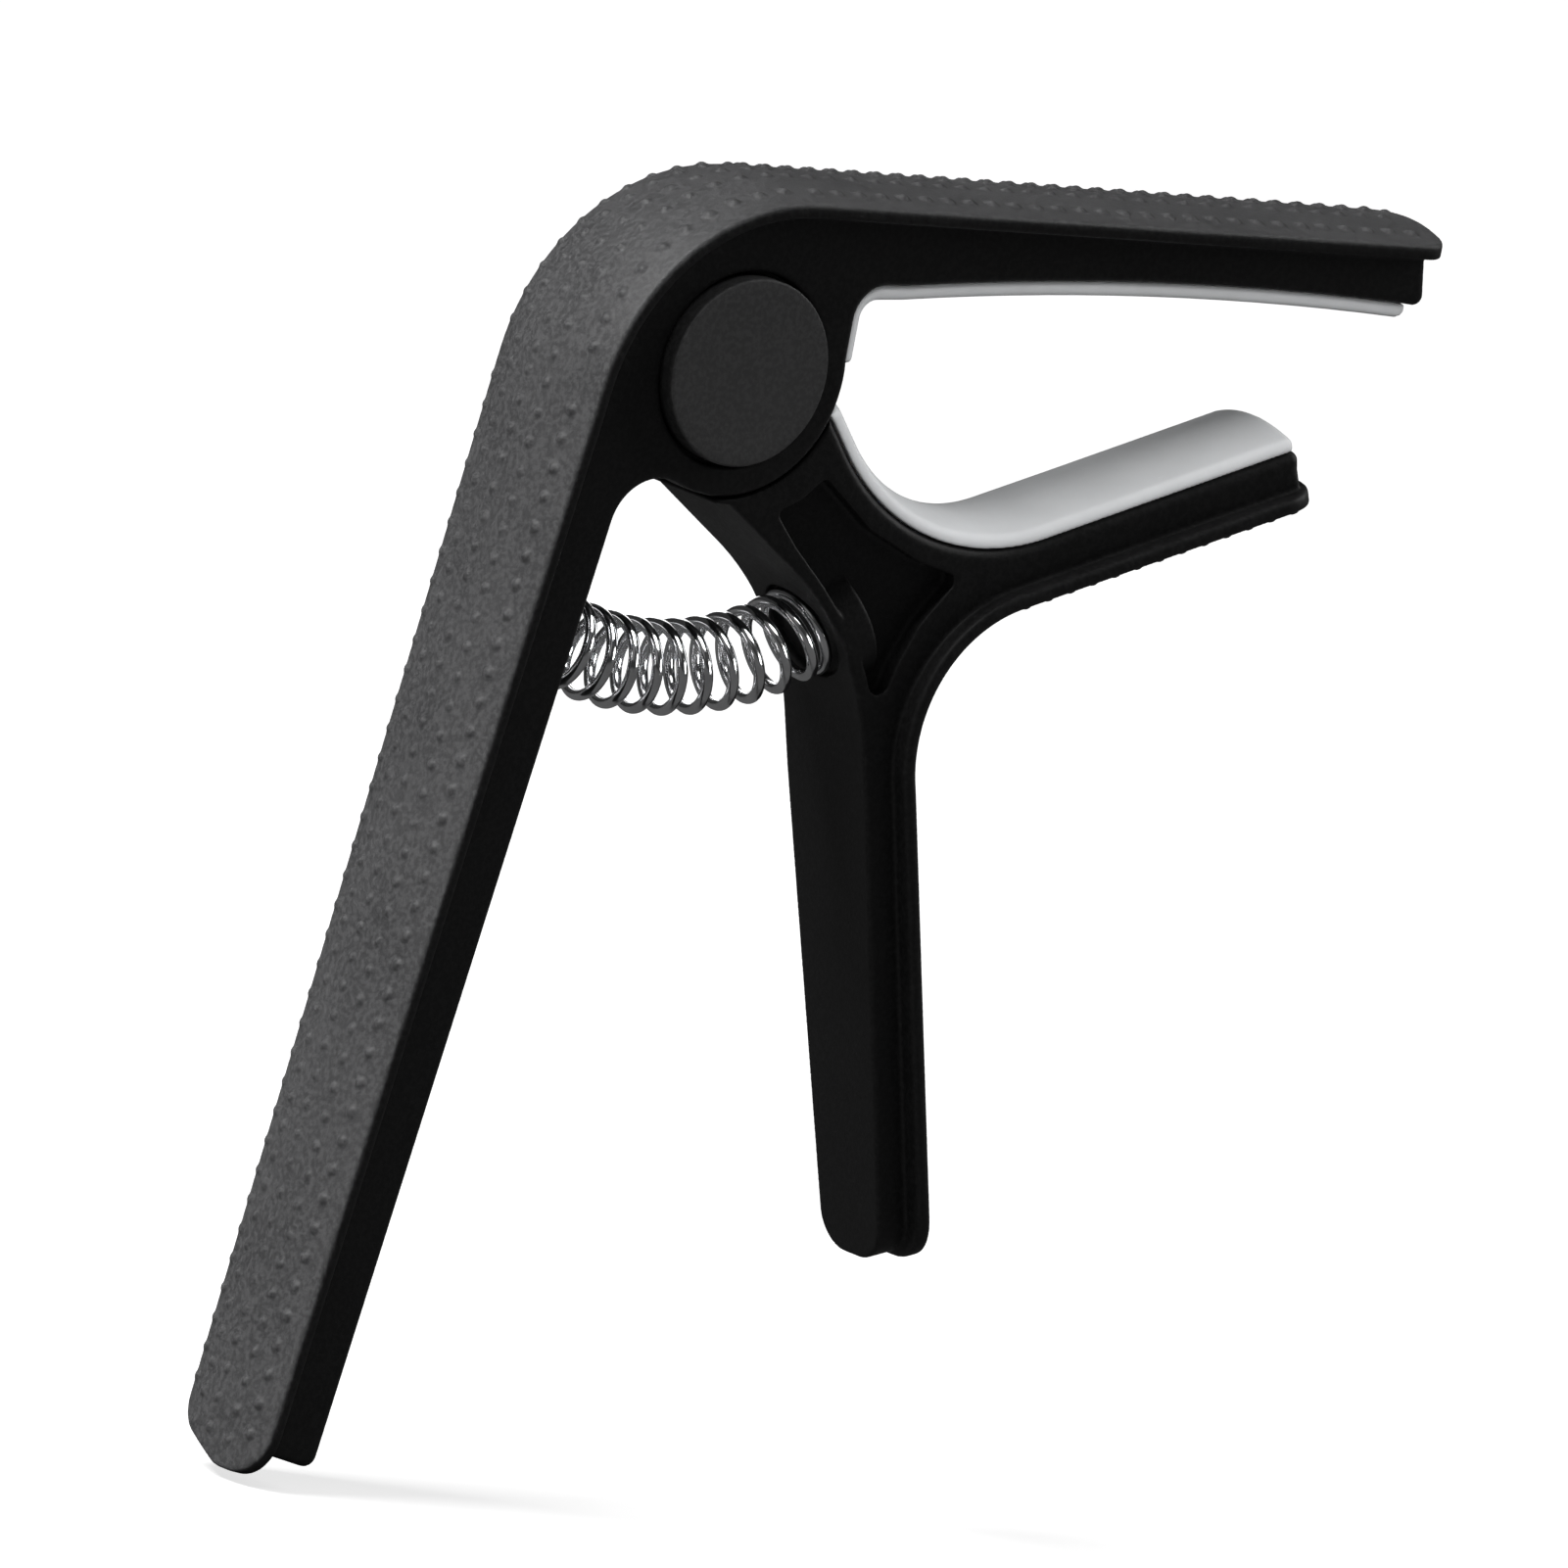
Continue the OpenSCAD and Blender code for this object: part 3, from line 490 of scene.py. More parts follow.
def build_upper_lever():
    block = Block((-26.6, -6.9, -84.0), (61.4, 6.9, 14.4), VOXEL)
    x, z = block.x, block.z
    # depth below the outer face, along bar, bend and handle
    run = along(x, z, HANDLE_TOP, HANDLE_DIR)
    handle_depth = along(x, z, HANDLE_TOP, HANDLE_IN)
    bar_depth = BAR_TOP - z
    on_bar, by_handle = x - BEND_CENTRE[0] > 0, run > 0
    bend_depth = BEND_RADIUS - away(x, z, BEND_CENTRE)
    depth = np.where(on_bar & by_handle, np.minimum(bar_depth, handle_depth),
                     np.where(on_bar, bar_depth,
                              np.where(by_handle, handle_depth, bend_depth))).astype(np.float32)
    handle_share = np.clip((run - HANDLE_TAPER_AT) / (HANDLE_LEN - HANDLE_TAPER_AT), 0, 1)
    bar_share = np.clip((x - BAR_TAPER_X) / (BAR_REACH - BAR_TAPER_X), 0, 1)
    half = np.minimum(lerp(FLANGE_HALF, FLANGE_END_HALF, handle_share),
                      lerp(FLANGE_HALF, BAR_END_HALF, bar_share))
    crown = CROWN - HANDLE_CROWN_DROP * np.clip(run / HANDLE_LEN, 0, 1)
    handle_plan = block.plan(outline([
        (-140, FLANGE_HALF, 0), (HANDLE_TAPER_AT, FLANGE_HALF, 0),
        (HANDLE_LEN - 2.7, FLANGE_END_HALF, 2.7), (HANDLE_LEN - 0.4, -0.2, 2.6),
        (HANDLE_LEN - 0.3, -FLANGE_END_HALF, 3.4),
        (HANDLE_TAPER_AT, -FLANGE_HALF, 0), (-140, -FLANGE_HALF, 0)], 14), run)
    bar_plan = block.plan(outline([
        (-140, FLANGE_HALF, 0), (BAR_TAPER_X, FLANGE_HALF, 0),
        (BAR_REACH - 0.6, BAR_END_HALF, 1.9), (BAR_REACH, 0, 30),
        (BAR_REACH - 0.6, -BAR_END_HALF, 1.9),
        (BAR_TAPER_X, -FLANGE_HALF, 0), (-140, -FLANGE_HALF, 0)], 12), x)
    pivot_dist = np.hypot(x, z)
    web = np.minimum(poly_dist(upper_web_outline(), x, z),
                     pivot_dist - EAR_RADIUS).astype(np.float32)
    web_half = lerp(WEB_HALF, WEB_END_HALF, np.clip((run - 3.5) / (WEB_LEN + 16.5), 0, 1.2))
    slot = np.minimum(pivot_dist - (KNUCKLE_RADIUS + 0.4),
                      sector_dist(x, z, radius=13, start=-11.5, sweep=-102.5))
    seat_run, seat_side = spring_axes(x, z, SEAT_ANGLE)

    def slice_at(j, y):
        off = abs(y)
        plan = np.maximum(handle_plan(j), bar_plan(j))
        body = common(flange_band(depth, crown, half, y), plan, 0.28)
        body = join(body, common(web, off - web_half, 0.4), 0.22)
        # cap recess, slot, pin bore
        recess = np.maximum(pivot_dist - (CAP_RADIUS + 0.36), CAP_FLOOR - off)
        body = soft_cut(body, recess, 0.12)
        body = cut(body, np.maximum(slot, off - SLOT_HALF))
        body = cut(body, pivot_dist - PIN_RADIUS - BORE_GAP)
        # spring seat with its peg
        reach = np.sqrt(seat_side * seat_side + y * y)
        bore = np.maximum(np.maximum(reach - SPRING_BORE, -seat_run), seat_run - 8)
        peg = np.maximum(reach - 2.1, seat_run - 1.6)
        return cut(body, cut(bore, peg))

    block.fill(slice_at)
    add_upper_dots(block)
    return block.mesh("upper_lever_body")


# ---- trigger lever -----------------------------------------------------------
def trigger_outline():
    """Cheek, throat and jaw, then back along the crotch, trigger and shoulder."""
    back = float(CHEEK @ CHEEK_DIR)
    to_ear = -back + math.sqrt(back ** 2 - float(CHEEK @ CHEEK) + (1.03 * EAR_RADIUS) ** 2)
    inner = TRIG_DEPTH - WEB_LAP
    jaw_end = on_jaw(JAW_REACH, JAW_DEPTH - WEB_LAP)
    points = [CHEEK + CHEEK_DIR * to_ear]
    points += corner(CHEEK, THROAT_TIP, JAW_POINT, THROAT_RADIUS, 30)
    points += corner(THROAT_TIP, on_jaw(JAW_REACH + 0.5, 0), on_jaw(JAW_REACH, JAW_DEPTH), 0.7, 6)
    points += [jaw_end]
    points += corner(jaw_end, crotch(WEB_LAP), on_trig(TRIG_WEB_LEN, inner),
                     CROTCH_RADIUS + WEB_LAP, 30)
    points += [on_trig(TRIG_WEB_LEN + 1, inner), on_trig(TRIG_WEB_LEN + 1, 0)]
    points += corner(on_trig(TRIG_WEB_LEN, 0), TRIG_KNEE, SHOULDER, 21, 24)
    points += [SHOULDER, 1.06 * EAR_RADIUS * heading(-90), vec(2, -6), vec(6, -3)]
    return points


# side pocket below the pivot: (x, z, corner radius)
POCKET = [
    (*(11.95 * heading(-38.0)), 0.6), (14.24, -10.95, 1.5), (19.1, -13.0, 1.5),
    (22.15, -13.7, 0.35), (22.35, -14.4, 0.5), (20.04, -17.4, 2), (18.75, -20.3, 2),
    (18.15, -22.35, 0.45), (17.36, -22.72, 0.5), (16.7, -22.3, 0.5), (16.1, -21.1, 1.5),
    (14.2, -18.3, 2), (11.1, -15.2, 3), (7.9, -12.4, 1.2), (*(11.6 * heading(-60.5)), 0.4),
    (*(11.9 * heading(-49)), 3),
]
# (y of the row, its shift along as a share of the pitch)
TRIGGER_DOTS = [(-4.15, 0.0), (-1.2, 0.45), (1.35, 0.4), (3.95, 0.4), (5.7, 0.9)]
TRIG_PITCH, JAW_SHIFT_PITCH, JAW_PITCH = 2.165, 2.05, 1.82
JAW_FRONT_Y, JAW_BIG_DOT = -4.9, 1.25        # front row on the jaw


def add_trigger_dots(block):
    for row_y, shift in TRIGGER_DOTS:
        front = row_y < -3
        for run in stations(5.4 + shift * TRIG_PITCH,
                            TRIG_LEN - end_gap(row_y, 3.4, 2.4, 1.7), TRIG_PITCH):
            share = max(0, (run + TRIG_START - TRIG_TAPER_AT) / (TRIG_END - TRIG_TAPER_AT))
            half = lerp(FLANGE_HALF, FLANGE_END_HALF, share)
            y = min(row_y * (1 - 0.1 * run / TRIG_LEN), half - DOT_EDGE)
            add_dot(block, on_trig(run, TRIG_DEPTH), TRIG_OUT, BIG_DOT if front else 1.0,
                    y, CROWN - TRIG_CROWN_DROP * share, half)
        for x in stations(THROAT_TIP[0] + 5.2 + shift * JAW_SHIFT_PITCH,
                          JAW_FLANGE_REACH - end_gap(row_y, 2.6, 1.5, 1.5), JAW_PITCH):
            add_dot(block, on_jaw(x, JAW_DEPTH), -JAW_UP, JAW_BIG_DOT if front else 1.0,
                    JAW_FRONT_Y if front else row_y, CROWN, FLANGE_HALF)


def build_trigger_lever():
    block = Block((-8.4, -6.9, -65.2), (54.4, 6.9, 8.4), VOXEL)
    x, z = block.x, block.z
    pivot_dist = np.hypot(x, z)
    # depth below the outer face, along jaw, crotch and trigger
    jaw_depth = along(x, z, on_jaw(40, JAW_DEPTH), JAW_UP)
    trig_depth = -along(x, z, on_trig(0, TRIG_DEPTH), TRIG_OUT)
    by_jaw = along(x, z, CROTCH_CENTRE, JAW_DIR) > 0
    by_trig = along(x, z, CROTCH_CENTRE, TRIG_DIR) > 0
    crotch_depth = away(x, z, CROTCH_CENTRE) - CROTCH_RADIUS
    depth = np.where(by_jaw & by_trig, np.maximum(jaw_depth, trig_depth),
                     np.where(by_jaw, jaw_depth,
                              np.where(by_trig, trig_depth, crotch_depth))).astype(np.float32)
    run = along(x, z, TRIG_KNEE, TRIG_DIR)
    jaw_run = along(x, z, on_jaw(0, 0), JAW_DIR)
    jaw_end = JAW_FLANGE_REACH / math.cos(math.radians(JAW_SLOPE))
    trig_plan = block.plan(
        taper(TRIG_TAPER_AT, TRIG_END, FLANGE_HALF, FLANGE_END_HALF, 3.6), run)
    jaw_plan = block.plan(taper(JAW_TAPER_AT, jaw_end, FLANGE_HALF, FLANGE_HALF, 3.2), jaw_run)
    web_plan = block.plan(
        taper(TRIG_TAPER_AT, TRIG_WEB_LEN + TRIG_START, TRIG_HALF, WEB_END_HALF - 0.2, 2.8), run)
    share = np.clip((run - TRIG_TAPER_AT) / (TRIG_END - TRIG_TAPER_AT), 0, 1)
    half = lerp(FLANGE_HALF, FLANGE_END_HALF, share)
    crown = CROWN - TRIG_CROWN_DROP * share
    profile = poly_dist(trigger_outline(), x, z)
    pocket = np.maximum(poly_dist(outline(POCKET, 6), x, z), (EAR_RADIUS + 2.35) - pivot_dist)
    cup_run, cup_side = spring_axes(x, z, CUP_ANGLE, tilt=1.2)
    tongue = np.maximum(sector_dist(x, z, radius=EAR_RADIUS + 1, start=-12, sweep=-76),
                        pivot_dist - (EAR_RADIUS - 0.1))
    knuckle = np.minimum(pivot_dist - KNUCKLE_RADIUS, tongue)
    knuckle_half = SLOT_HALF - 0.1
    # the edge rounding grows near the throat's and jaw's upper face
    height = np.where(along(x, z, THROAT_CENTRE, JAW_DIR) > 0, along(x, z, JAW_POINT, JAW_UP),
                      THROAT_RADIUS - away(x, z, THROAT_CENTRE))
    rounding = (0.2 + 0.65 * np.clip((3.0 + height) / 1.6, 0, 1)
                * np.clip((x - 6) / 3, 0, 1)).astype(np.float32)

    def slice_at(j, y):
        off = abs(y)
        web = common(profile, web_plan(j), rounding)
        # side pockets with drafted walls, and the spring cup's wall standing in them
        hollow = common(pocket + 0.12 * (off - TRIG_HALF), (TRIG_HALF - 1.5) - off, 0.4)
        reach = np.sqrt(cup_side * cup_side + y * y)
        boss = common(reach - (TRIG_HALF + 0.27), np.maximum(cup_run - 2.3, -cup_run - 6), 0.3)
        boss = np.maximum(boss, profile + 0.08)
        web = join(soft_cut(web, hollow, 0.16), boss, 0.12)
        plan = np.maximum(trig_plan(j), jaw_plan(j))
        body = join(common(flange_band(depth, crown, half, y), plan, 0.34), web, 0.22)
        # relief for the ears on both sides of the knuckle
        body = cut(body, np.maximum(pivot_dist - (EAR_RADIUS + 0.25), knuckle_half - off))
        body = np.minimum(body, common(knuckle, off - knuckle_half, 0.1))
        # bush bore and a shallow round recess on each side of it
        body = cut(body, pivot_dist - BUSH_RADIUS - BORE_GAP)
        body = cut(body, np.maximum(pivot_dist - 6.8, (SLOT_HALF - 0.6) - off))
        bore = np.maximum(np.maximum(reach - SPRING_BORE, cup_run - 0.2), -cup_run - 12)
        return soft_cut(body, bore, 0.15)

    block.fill(slice_at)
    add_trigger_dots(block)
    return block.mesh("trigger_lever_body")


# ---- pads --------------------------------------------------------------------
def build_string_pad():
    """Pad under the bar, with a return down the upright face."""
    block = Block((8.4, -5.2, 0.2), (58.6, 5.2, 9.4), VOXEL * 0.9)
    gap = 0.03                               # clearance to the lever
    back = THROAT_X + gap
    front = THROAT_X + RETURN_PAD_THICK
    foot, tip = 0.8, 57.6
    points = arch_line(tip, ARCH_START, gap)
    points += corner((ARCH_START, arch(ARCH_START, gap)),
                     (back, arch(ARCH_START) - THROAT_DROP - gap),
                     (back, 0), THROAT_CORNER + gap, 10)
    points += [vec(back, 1.6)]
    points += corner((back, 1.6), (THROAT_X + 0.1, foot), (front, foot), 0.12, 3)
    points += corner((back, foot), (front, foot), (front, 4), 0.5, 6)
    points += corner((front, 0), (front, arch(11.6, STRING_PAD_THICK)),
                     (ARCH_START, arch(ARCH_START, STRING_PAD_THICK)), 1.3, 10)
    points += arch_line(ARCH_START, 56.9, STRING_PAD_THICK)
    points += [vec(57.35, arch(57.35, STRING_PAD_THICK - 0.2)),
               vec(tip, arch(tip, STRING_PAD_THICK - 0.55))]
    profile = poly_dist(points, block.x, block.z)
    block.fill(lambda j, y: common(profile + 0.0045 * y * y, abs(y) - PAD_HALF, 0.34))
    return block.mesh("string_pad_silicone")


def build_neck_pad():
    """Pad lining the jaw, the throat and the lower cheek."""
    block = Block((7.6, -5.2, -13.0), (51.4, 5.2, 0.2), VOXEL * 0.9)
    x, z = block.x, block.z
    edge_thick = 0.85
    by_jaw = along(x, z, THROAT_CENTRE, JAW_DIR) > 0
    by_cheek = -along(x, z, THROAT_CENTRE, CHEEK_DIR) > 0
    height = np.where(by_jaw, along(x, z, JAW_POINT, JAW_UP),
                      np.where(by_cheek, along(x, z, CHEEK, left_of(CHEEK_DIR)),
                               THROAT_RADIUS - away(x, z, THROAT_CENTRE))).astype(np.float32)
    jaw_run = along(x, z, THROAT_TIP, JAW_DIR)
    cheek_run = along(x, z, THROAT_TIP, -CHEEK_DIR)
    jaw_end = (JAW_REACH + 0.15 - THROAT_TIP[0]) / math.cos(math.radians(JAW_SLOPE))
    share = np.clip((jaw_run - THROAT_RUN) / (jaw_end - THROAT_RUN), 0, 1)
    thick = 1.98 - 0.2 * np.clip(share / 0.35, 0, 1)
    ends = np.maximum(np.where(by_jaw, jaw_run - jaw_end, -50),
                      np.where(by_cheek & ~by_jaw, cheek_run - (THROAT_RUN + 3.35), -50))

    def slice_at(j, y):
        top = height - (thick - (thick - edge_thick) * (y / PAD_HALF) ** 2)
        pad = common(common(top, abs(y) - PAD_HALF, 0.42), ends, 0.55)
        return np.maximum(pad, 0.04 - height)

    block.fill(slice_at)
    return block.mesh("neck_pad_silicone")


# ---- spring ------------------------------------------------------------------
def build_spring():
    """Round wire coiled about an arc, its first and last turns closed."""
    coil_radius = SPRING_RADIUS - WIRE / 2
    length = SPRING_LINE_RADIUS * (CUP_ANGLE - SEAT_ANGLE - 0.4) * math.pi / 180 - WIRE - 0.1
    closed = WIRE + 0.06
    pitch = (length - 2 * closed) / (SPRING_TURNS - 2)

    def advance(turn):
        if turn < 1:
            return turn * closed
        if turn > SPRING_TURNS - 1:
            return length - (SPRING_TURNS - turn) * closed
        return closed + (turn - 1) * pitch

    def line_angle(run):
        return SEAT_ANGLE + math.degrees(run / SPRING_LINE_RADIUS)

    def radial(turn, angle):
        angle, phase = math.radians(angle), turn * 2 * math.pi
        return vec(math.cos(phase) * -math.sin(angle), -math.sin(phase),
                   math.cos(phase) * math.cos(angle))

    def wire_centre(turn):
        angle = line_angle(advance(turn) + WIRE / 2 + 0.12)
        x, z = spring_point(angle)
        return vec(x, 0, z) + coil_radius * radial(turn, angle)

    def tangent(turn):
        return unit(wire_centre(turn + 0.01) - wire_centre(turn - 0.01))

    steps, sides = 56, 20
    count = int(round(SPRING_TURNS * steps))
    points, faces = [], []
    for i in range(count + 1):
        turn = i / steps
        centre, way = wire_centre(turn), tangent(turn)
        across = unit(np.cross(way, radial(turn, line_angle(advance(turn)))))
        outward = np.cross(across, way)
        for j in range(sides):
            angle = 2 * math.pi * j / sides
            points.append(centre + WIRE / 2
                          * (math.cos(angle) * outward + math.sin(angle) * across))
    for i in range(count):
        near, far = i * sides, (i + 1) * sides
        for j in range(sides):
            k = (j + 1) % sides
            faces.append((near + k, near + j, far + j, far + k))
    # cropped wire ends, slightly domed
    for end, sign in ((0, -1), (count, 1)):
        ring = [end * sides + j for j in range(sides)]
        centre = sum(points[k] for k in ring) / sides
        way = tangent(end / steps) * sign
        base = len(points)
        for k in ring:
            points.append(centre + (points[k] - centre) * 0.72 + way * 0.07)
        points.append(centre + way * 0.09)
        for j in range(sides):
            k = (j + 1) % sides
            for face in ((ring[j], ring[k], base + k, base + j), (base + j, base + k, base + sides)):
                faces.append(face if sign > 0 else face[::-1])
    ob = add_mesh("coil_spring", points, faces)
    ob.data.flip_normals()                   # the tube's sides are wound facing inwards
    return ob


# ---- pivot caps --------------------------------------------------------------
def cap_profile():
    """(radius, distance from mid width), from the outer face's middle to the hollow back's."""
    face, dish, rim = WEB_HALF + CAP_PROUD, 0.05, 0.18
    profile = [(0, face - dish)]
    profile += [(r, face - dish * (1 - (r / 5.9) ** 2)) for r in (1.0, 2.2, 3.6, 4.8, 5.6)]
    profile.append((5.95, face))
    for i in range(9):
        angle = math.pi / 2 * i / 8
        profile.append((CAP_RADIUS - rim + rim * math.sin(angle),
                        face - rim + rim * math.cos(angle)))
    return profile + [
        (CAP_RADIUS, WEB_HALF - 0.3), (CAP_RADIUS, CAP_FLOOR + 0.25),
        (CAP_RADIUS - 0.2, CAP_FLOOR + 0.03), (CAP_RADIUS - 1.0, CAP_FLOOR + 0.03),
        (CAP_RADIUS - 1.2, CAP_FLOOR + 0.2), (CAP_RADIUS - 1.2, CAP_FLOOR + 0.8),
        (CAP_RADIUS - 1.35, CAP_FLOOR + 0.95), (0, CAP_FLOOR + 0.95)]


def build_cap(name, side):
    """Turned disc with a rounded rim; side is -1 at the front and 1 at the rear."""
    count = 160
    points, faces, rings = [], [], []
    for radius, y in cap_profile():
        size = count if radius else 1
        rings.append(range(len(points), len(points) + size))
        for k in range(size):
            angle = 2 * math.pi * k / count
            points.append(vec(radius * math.cos(angle), side * y, radius * math.sin(angle)))
    for a, b in zip(rings, rings[1:]):
        for k in range(count):
            m = (k + 1) % count
            if len(a) == 1:
                face = (a[0], b[k], b[m])
            elif len(b) == 1:
                face = (a[k], b[0], a[m])
            else:
                face = (a[k], b[k], b[m], a[m])
            faces.append(face if side < 0 else face[::-1])
    return add_mesh(name, points, faces)


# ---- materials ---------------------------------------------------------------
def feed(tree, socket, value):
    """Links a socket's value, or sets a plain one."""
    if isinstance(value, bpy.types.NodeSocket):
        tree.links.new(value, socket)
    else:
        socket.default_value = value


def add_node(tree, kind, inputs=None):
    node = tree.nodes.new(kind)
    for key, value in (inputs or {}).items():
        feed(tree, node.inputs[key], value)
    return node


def scaled(colour, gain, lift=0.0):
    return tuple(min(1, v * gain + lift) for v in colour)


class Look:
    """A material on a Principled shader, with helpers for its texture nodes."""

    def __init__(self, name):
        self.material = bpy.data.materials.new(name)
        self.material.use_nodes = True
        self.tree = self.material.node_tree
        self.shader = self.tree.nodes["Principled BSDF"]
        self.place = self.node("ShaderNodeTexCoord").outputs["Object"]

    def node(self, kind, inputs=None):
        return add_node(self.tree, kind, inputs)

    def set(self, **inputs):
        """Shader inputs by name, with underscores for spaces."""
        for key, value in inputs.items():
            feed(self.tree, self.shader.inputs[key.replace("_", " ")], value)

    def noise(self, scale, detail, roughness=0.5, distortion=0.0, place=None):
        return self.node("ShaderNodeTexNoise", {
            "Scale": scale, "Detail": detail, "Roughness": roughness,
            "Distortion": distortion, "Vector": place or self.place}).outputs["Fac"]

    def ramp(self, factor, *stops):
        """Two (position, colour) stops."""
        node = self.node("ShaderNodeValToRGB", {"Fac": factor})
        for element, (position, colour) in zip(node.color_ramp.elements, stops):
            element.position = position
            element.color = (*colour, 1)
        return node.outputs["Color"]

    def remap(self, value, to, over=(0.3, 0.7)):
        return self.node("ShaderNodeMapRange", {
            "From Min": over[0], "From Max": over[1],
            "To Min": to[0], "To Max": to[1], "Value": value}).outputs["Result"]

    def math(self, operation, a, b):
        node = self.node("ShaderNodeMath", {0: a, 1: b})
        node.operation = operation
        return node.outputs[0]

    def mix(self, factor, a, colour):
        node = self.node("ShaderNodeMix")
        node.data_type = "RGBA"
        for key, value in ((0, factor), (6, a), (7, (*colour, 1))):
            feed(self.tree, node.inputs[key], value)
        return node.outputs[2]

    def bump(self, *layers):
        """Chain of bumps: (height, distance in metres, strength)."""
        normal = None
        for height, distance, strength in layers:
            node = self.node("ShaderNodeBump", {
                "Distance": distance, "Strength": strength, "Height": height})
            if normal is not None:
                self.tree.links.new(normal, node.inputs["Normal"])
            normal = node.outputs["Normal"]
        self.set(Normal=normal)


def plastic(name, dark, light, roughness, grain):
    """Moulded plastic: cloudy and speckled, with a painted highlight that makes its convex edges
    paler.
    """
    look = Look(name)
    cloud = look.noise(scale=130, detail=4, roughness=0.55)
    fine = look.noise(scale=2600, detail=2, roughness=0.6)
    spark = look.noise(scale=5200, detail=1)
    flow = look.noise(scale=420, detail=5, roughness=0.6, distortion=0.4)
    colour = look.ramp(cloud, (0.25, dark), (0.75, light))
    speck = look.math("MULTIPLY", look.remap(fine, to=(0.0, 1.0), over=(0.42, 0.62)), 0.5 * grain)
    colour = look.mix(speck, colour, scaled(light, gain=1.7, lift=0.004))
    # painted highlight: convex edges, found by pointiness, are mixed towards a paler tone in patches
    # set by the flow noise
    pointiness = look.node("ShaderNodeNewGeometry").outputs["Pointiness"]
    edge = look.remap(pointiness, to=(0.0, 1.0), over=(0.52, 0.62))
    edge = look.math("MULTIPLY", edge, look.remap(flow, to=(0.15, 0.9), over=(0.35, 0.7)))
    colour = look.mix(look.math("MULTIPLY", edge, 0.55), colour,
                      scaled(light, gain=2.3, lift=0.012))
    look.set(Base_Color=colour, Specular_IOR_Level=0.38, Roughness=look.math(
        "ADD", look.remap(cloud, to=roughness), look.remap(fine, to=(-0.06, 0.06))))
    look.bump((flow, 0.00004, 0.22 * grain), (fine, 0.000035, 0.30 * grain),
              (spark, 0.00002, 0.3 * grain))
    return look.material


def silicone(name, tint):
    """Matt, slightly translucent rubber with specks of dust."""
    look = Look(name)
    cloud = look.noise(scale=160, detail=4, roughness=0.6)
    fine = look.noise(scale=3800, detail=2, roughness=0.6)
    middle = look.noise(scale=900, detail=3, roughness=0.6)
    dust = look.remap(look.noise(scale=1500, detail=2, roughness=0.7),
                      to=(0, 1), over=(0.68, 0.78))
    colour = look.ramp(cloud, (0.3, scaled(tint, gain=0.93)), (0.7, tint))
    colour = look.mix(look.math("MULTIPLY", dust, 0.25), colour, scaled(tint, gain=1.12))
    look.set(Base_Color=colour, Roughness=look.remap(middle, to=(0.42, 0.6)),
             Subsurface_Weight=0.22, Subsurface_Radius=(1.0, 0.96, 0.92),
             Subsurface_Scale=0.0012, Sheen_Weight=0.12, Sheen_Roughness=0.5,
             Specular_IOR_Level=0.42)
    look.bump((middle, 0.00003, 0.25), (fine, 0.00002, 0.3))
    return look.material


def metal(name, base, roughness, streak=None, dark=None):
    """Bare metal; streak is the noise scale along x, y and z of its tool marks."""
    look = Look(name)
    cloud = look.noise(scale=500, detail=4, roughness=0.6)
    if streak:
        mapping = look.node("ShaderNodeMapping", {"Scale": streak, "Vector": look.place})
        lines = look.noise(scale=1.0, detail=3, roughness=0.7, place=mapping.outputs["Vector"])
    else:
        lines = look.noise(scale=3500, detail=3, roughness=0.6)
    colour = look.ramp(cloud, (0.3, dark or scaled(base, gain=0.82)), (0.65, base))
    look.set(Metallic=1.0, Base_Color=colour, Roughness=look.math(
        "ADD", look.remap(cloud, to=roughness), look.remap(lines, to=(-0.05, 0.07))))
    look.bump((lines, 0.000012, 0.35 if streak else 0.1))
    return look.material


body_plastic = plastic("moulded_black_nylon", dark=(0.016, 0.016, 0.0165),
                       light=(0.022, 0.022, 0.0225), roughness=(0.46, 0.58), grain=1.0)
cap_plastic = plastic("moulded_cap_grey", dark=(0.058, 0.058, 0.059),
                      light=(0.078, 0.078, 0.079), roughness=(0.50, 0.60), grain=0.8)
pad_silicone = silicone("silicone_light_grey", tint=(0.60, 0.61, 0.62))
spring_metal = metal("spring_bright_plated", base=(0.86, 0.865, 0.88), roughness=(0.07, 0.15))
pin_metal = metal("pin_ground_steel", base=(0.56, 0.57, 0.58), roughness=(0.22, 0.32),
                  streak=(800, 9000, 800))
bush_metal = metal("bush_turned_brass", base=(0.72, 0.50, 0.20), roughness=(0.24, 0.36),
                   streak=(700, 9000, 700), dark=(0.55, 0.36, 0.13))
ring_metal = metal("ring_stamped_steel", base=(0.42, 0.43, 0.45), roughness=(0.28, 0.42),
                   streak=(5000, 900, 900))
washer_nylon = silicone("washer_natural_nylon", tint=(0.66, 0.64, 0.58))


# ---- pieces into the frame ---------------------------------------------------
def fit(ob, material, node, rides=None):
    """Gives a piece its material, parents it to the body it rides on and hides the CAD part it
    replaces.
    """
    ob.data.materials.append(material)
    if rides:
        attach(ob, rides)
    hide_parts(node)
    return ob


upper_lever = fit(build_upper_lever(), body_plastic, "main_lever", "frame")
fit(build_trigger_lever(), body_plastic, "trigger_lever", "trigger")
string_pad = fit(build_string_pad(), pad_silicone, "string_pad", "frame")
neck_pad = fit(build_neck_pad(), pad_silicone, "neck_pad", "trigger")
spring = fit(build_spring(), spring_metal, "compression_spring")
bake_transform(spring)
front_cap = fit(build_cap("front_cap_disc", -1), cap_plastic,
                "front_pivot_cap", "frame")
fit(build_cap("rear_cap_disc", 1), cap_plastic, "rear_pivot_cap", "frame")

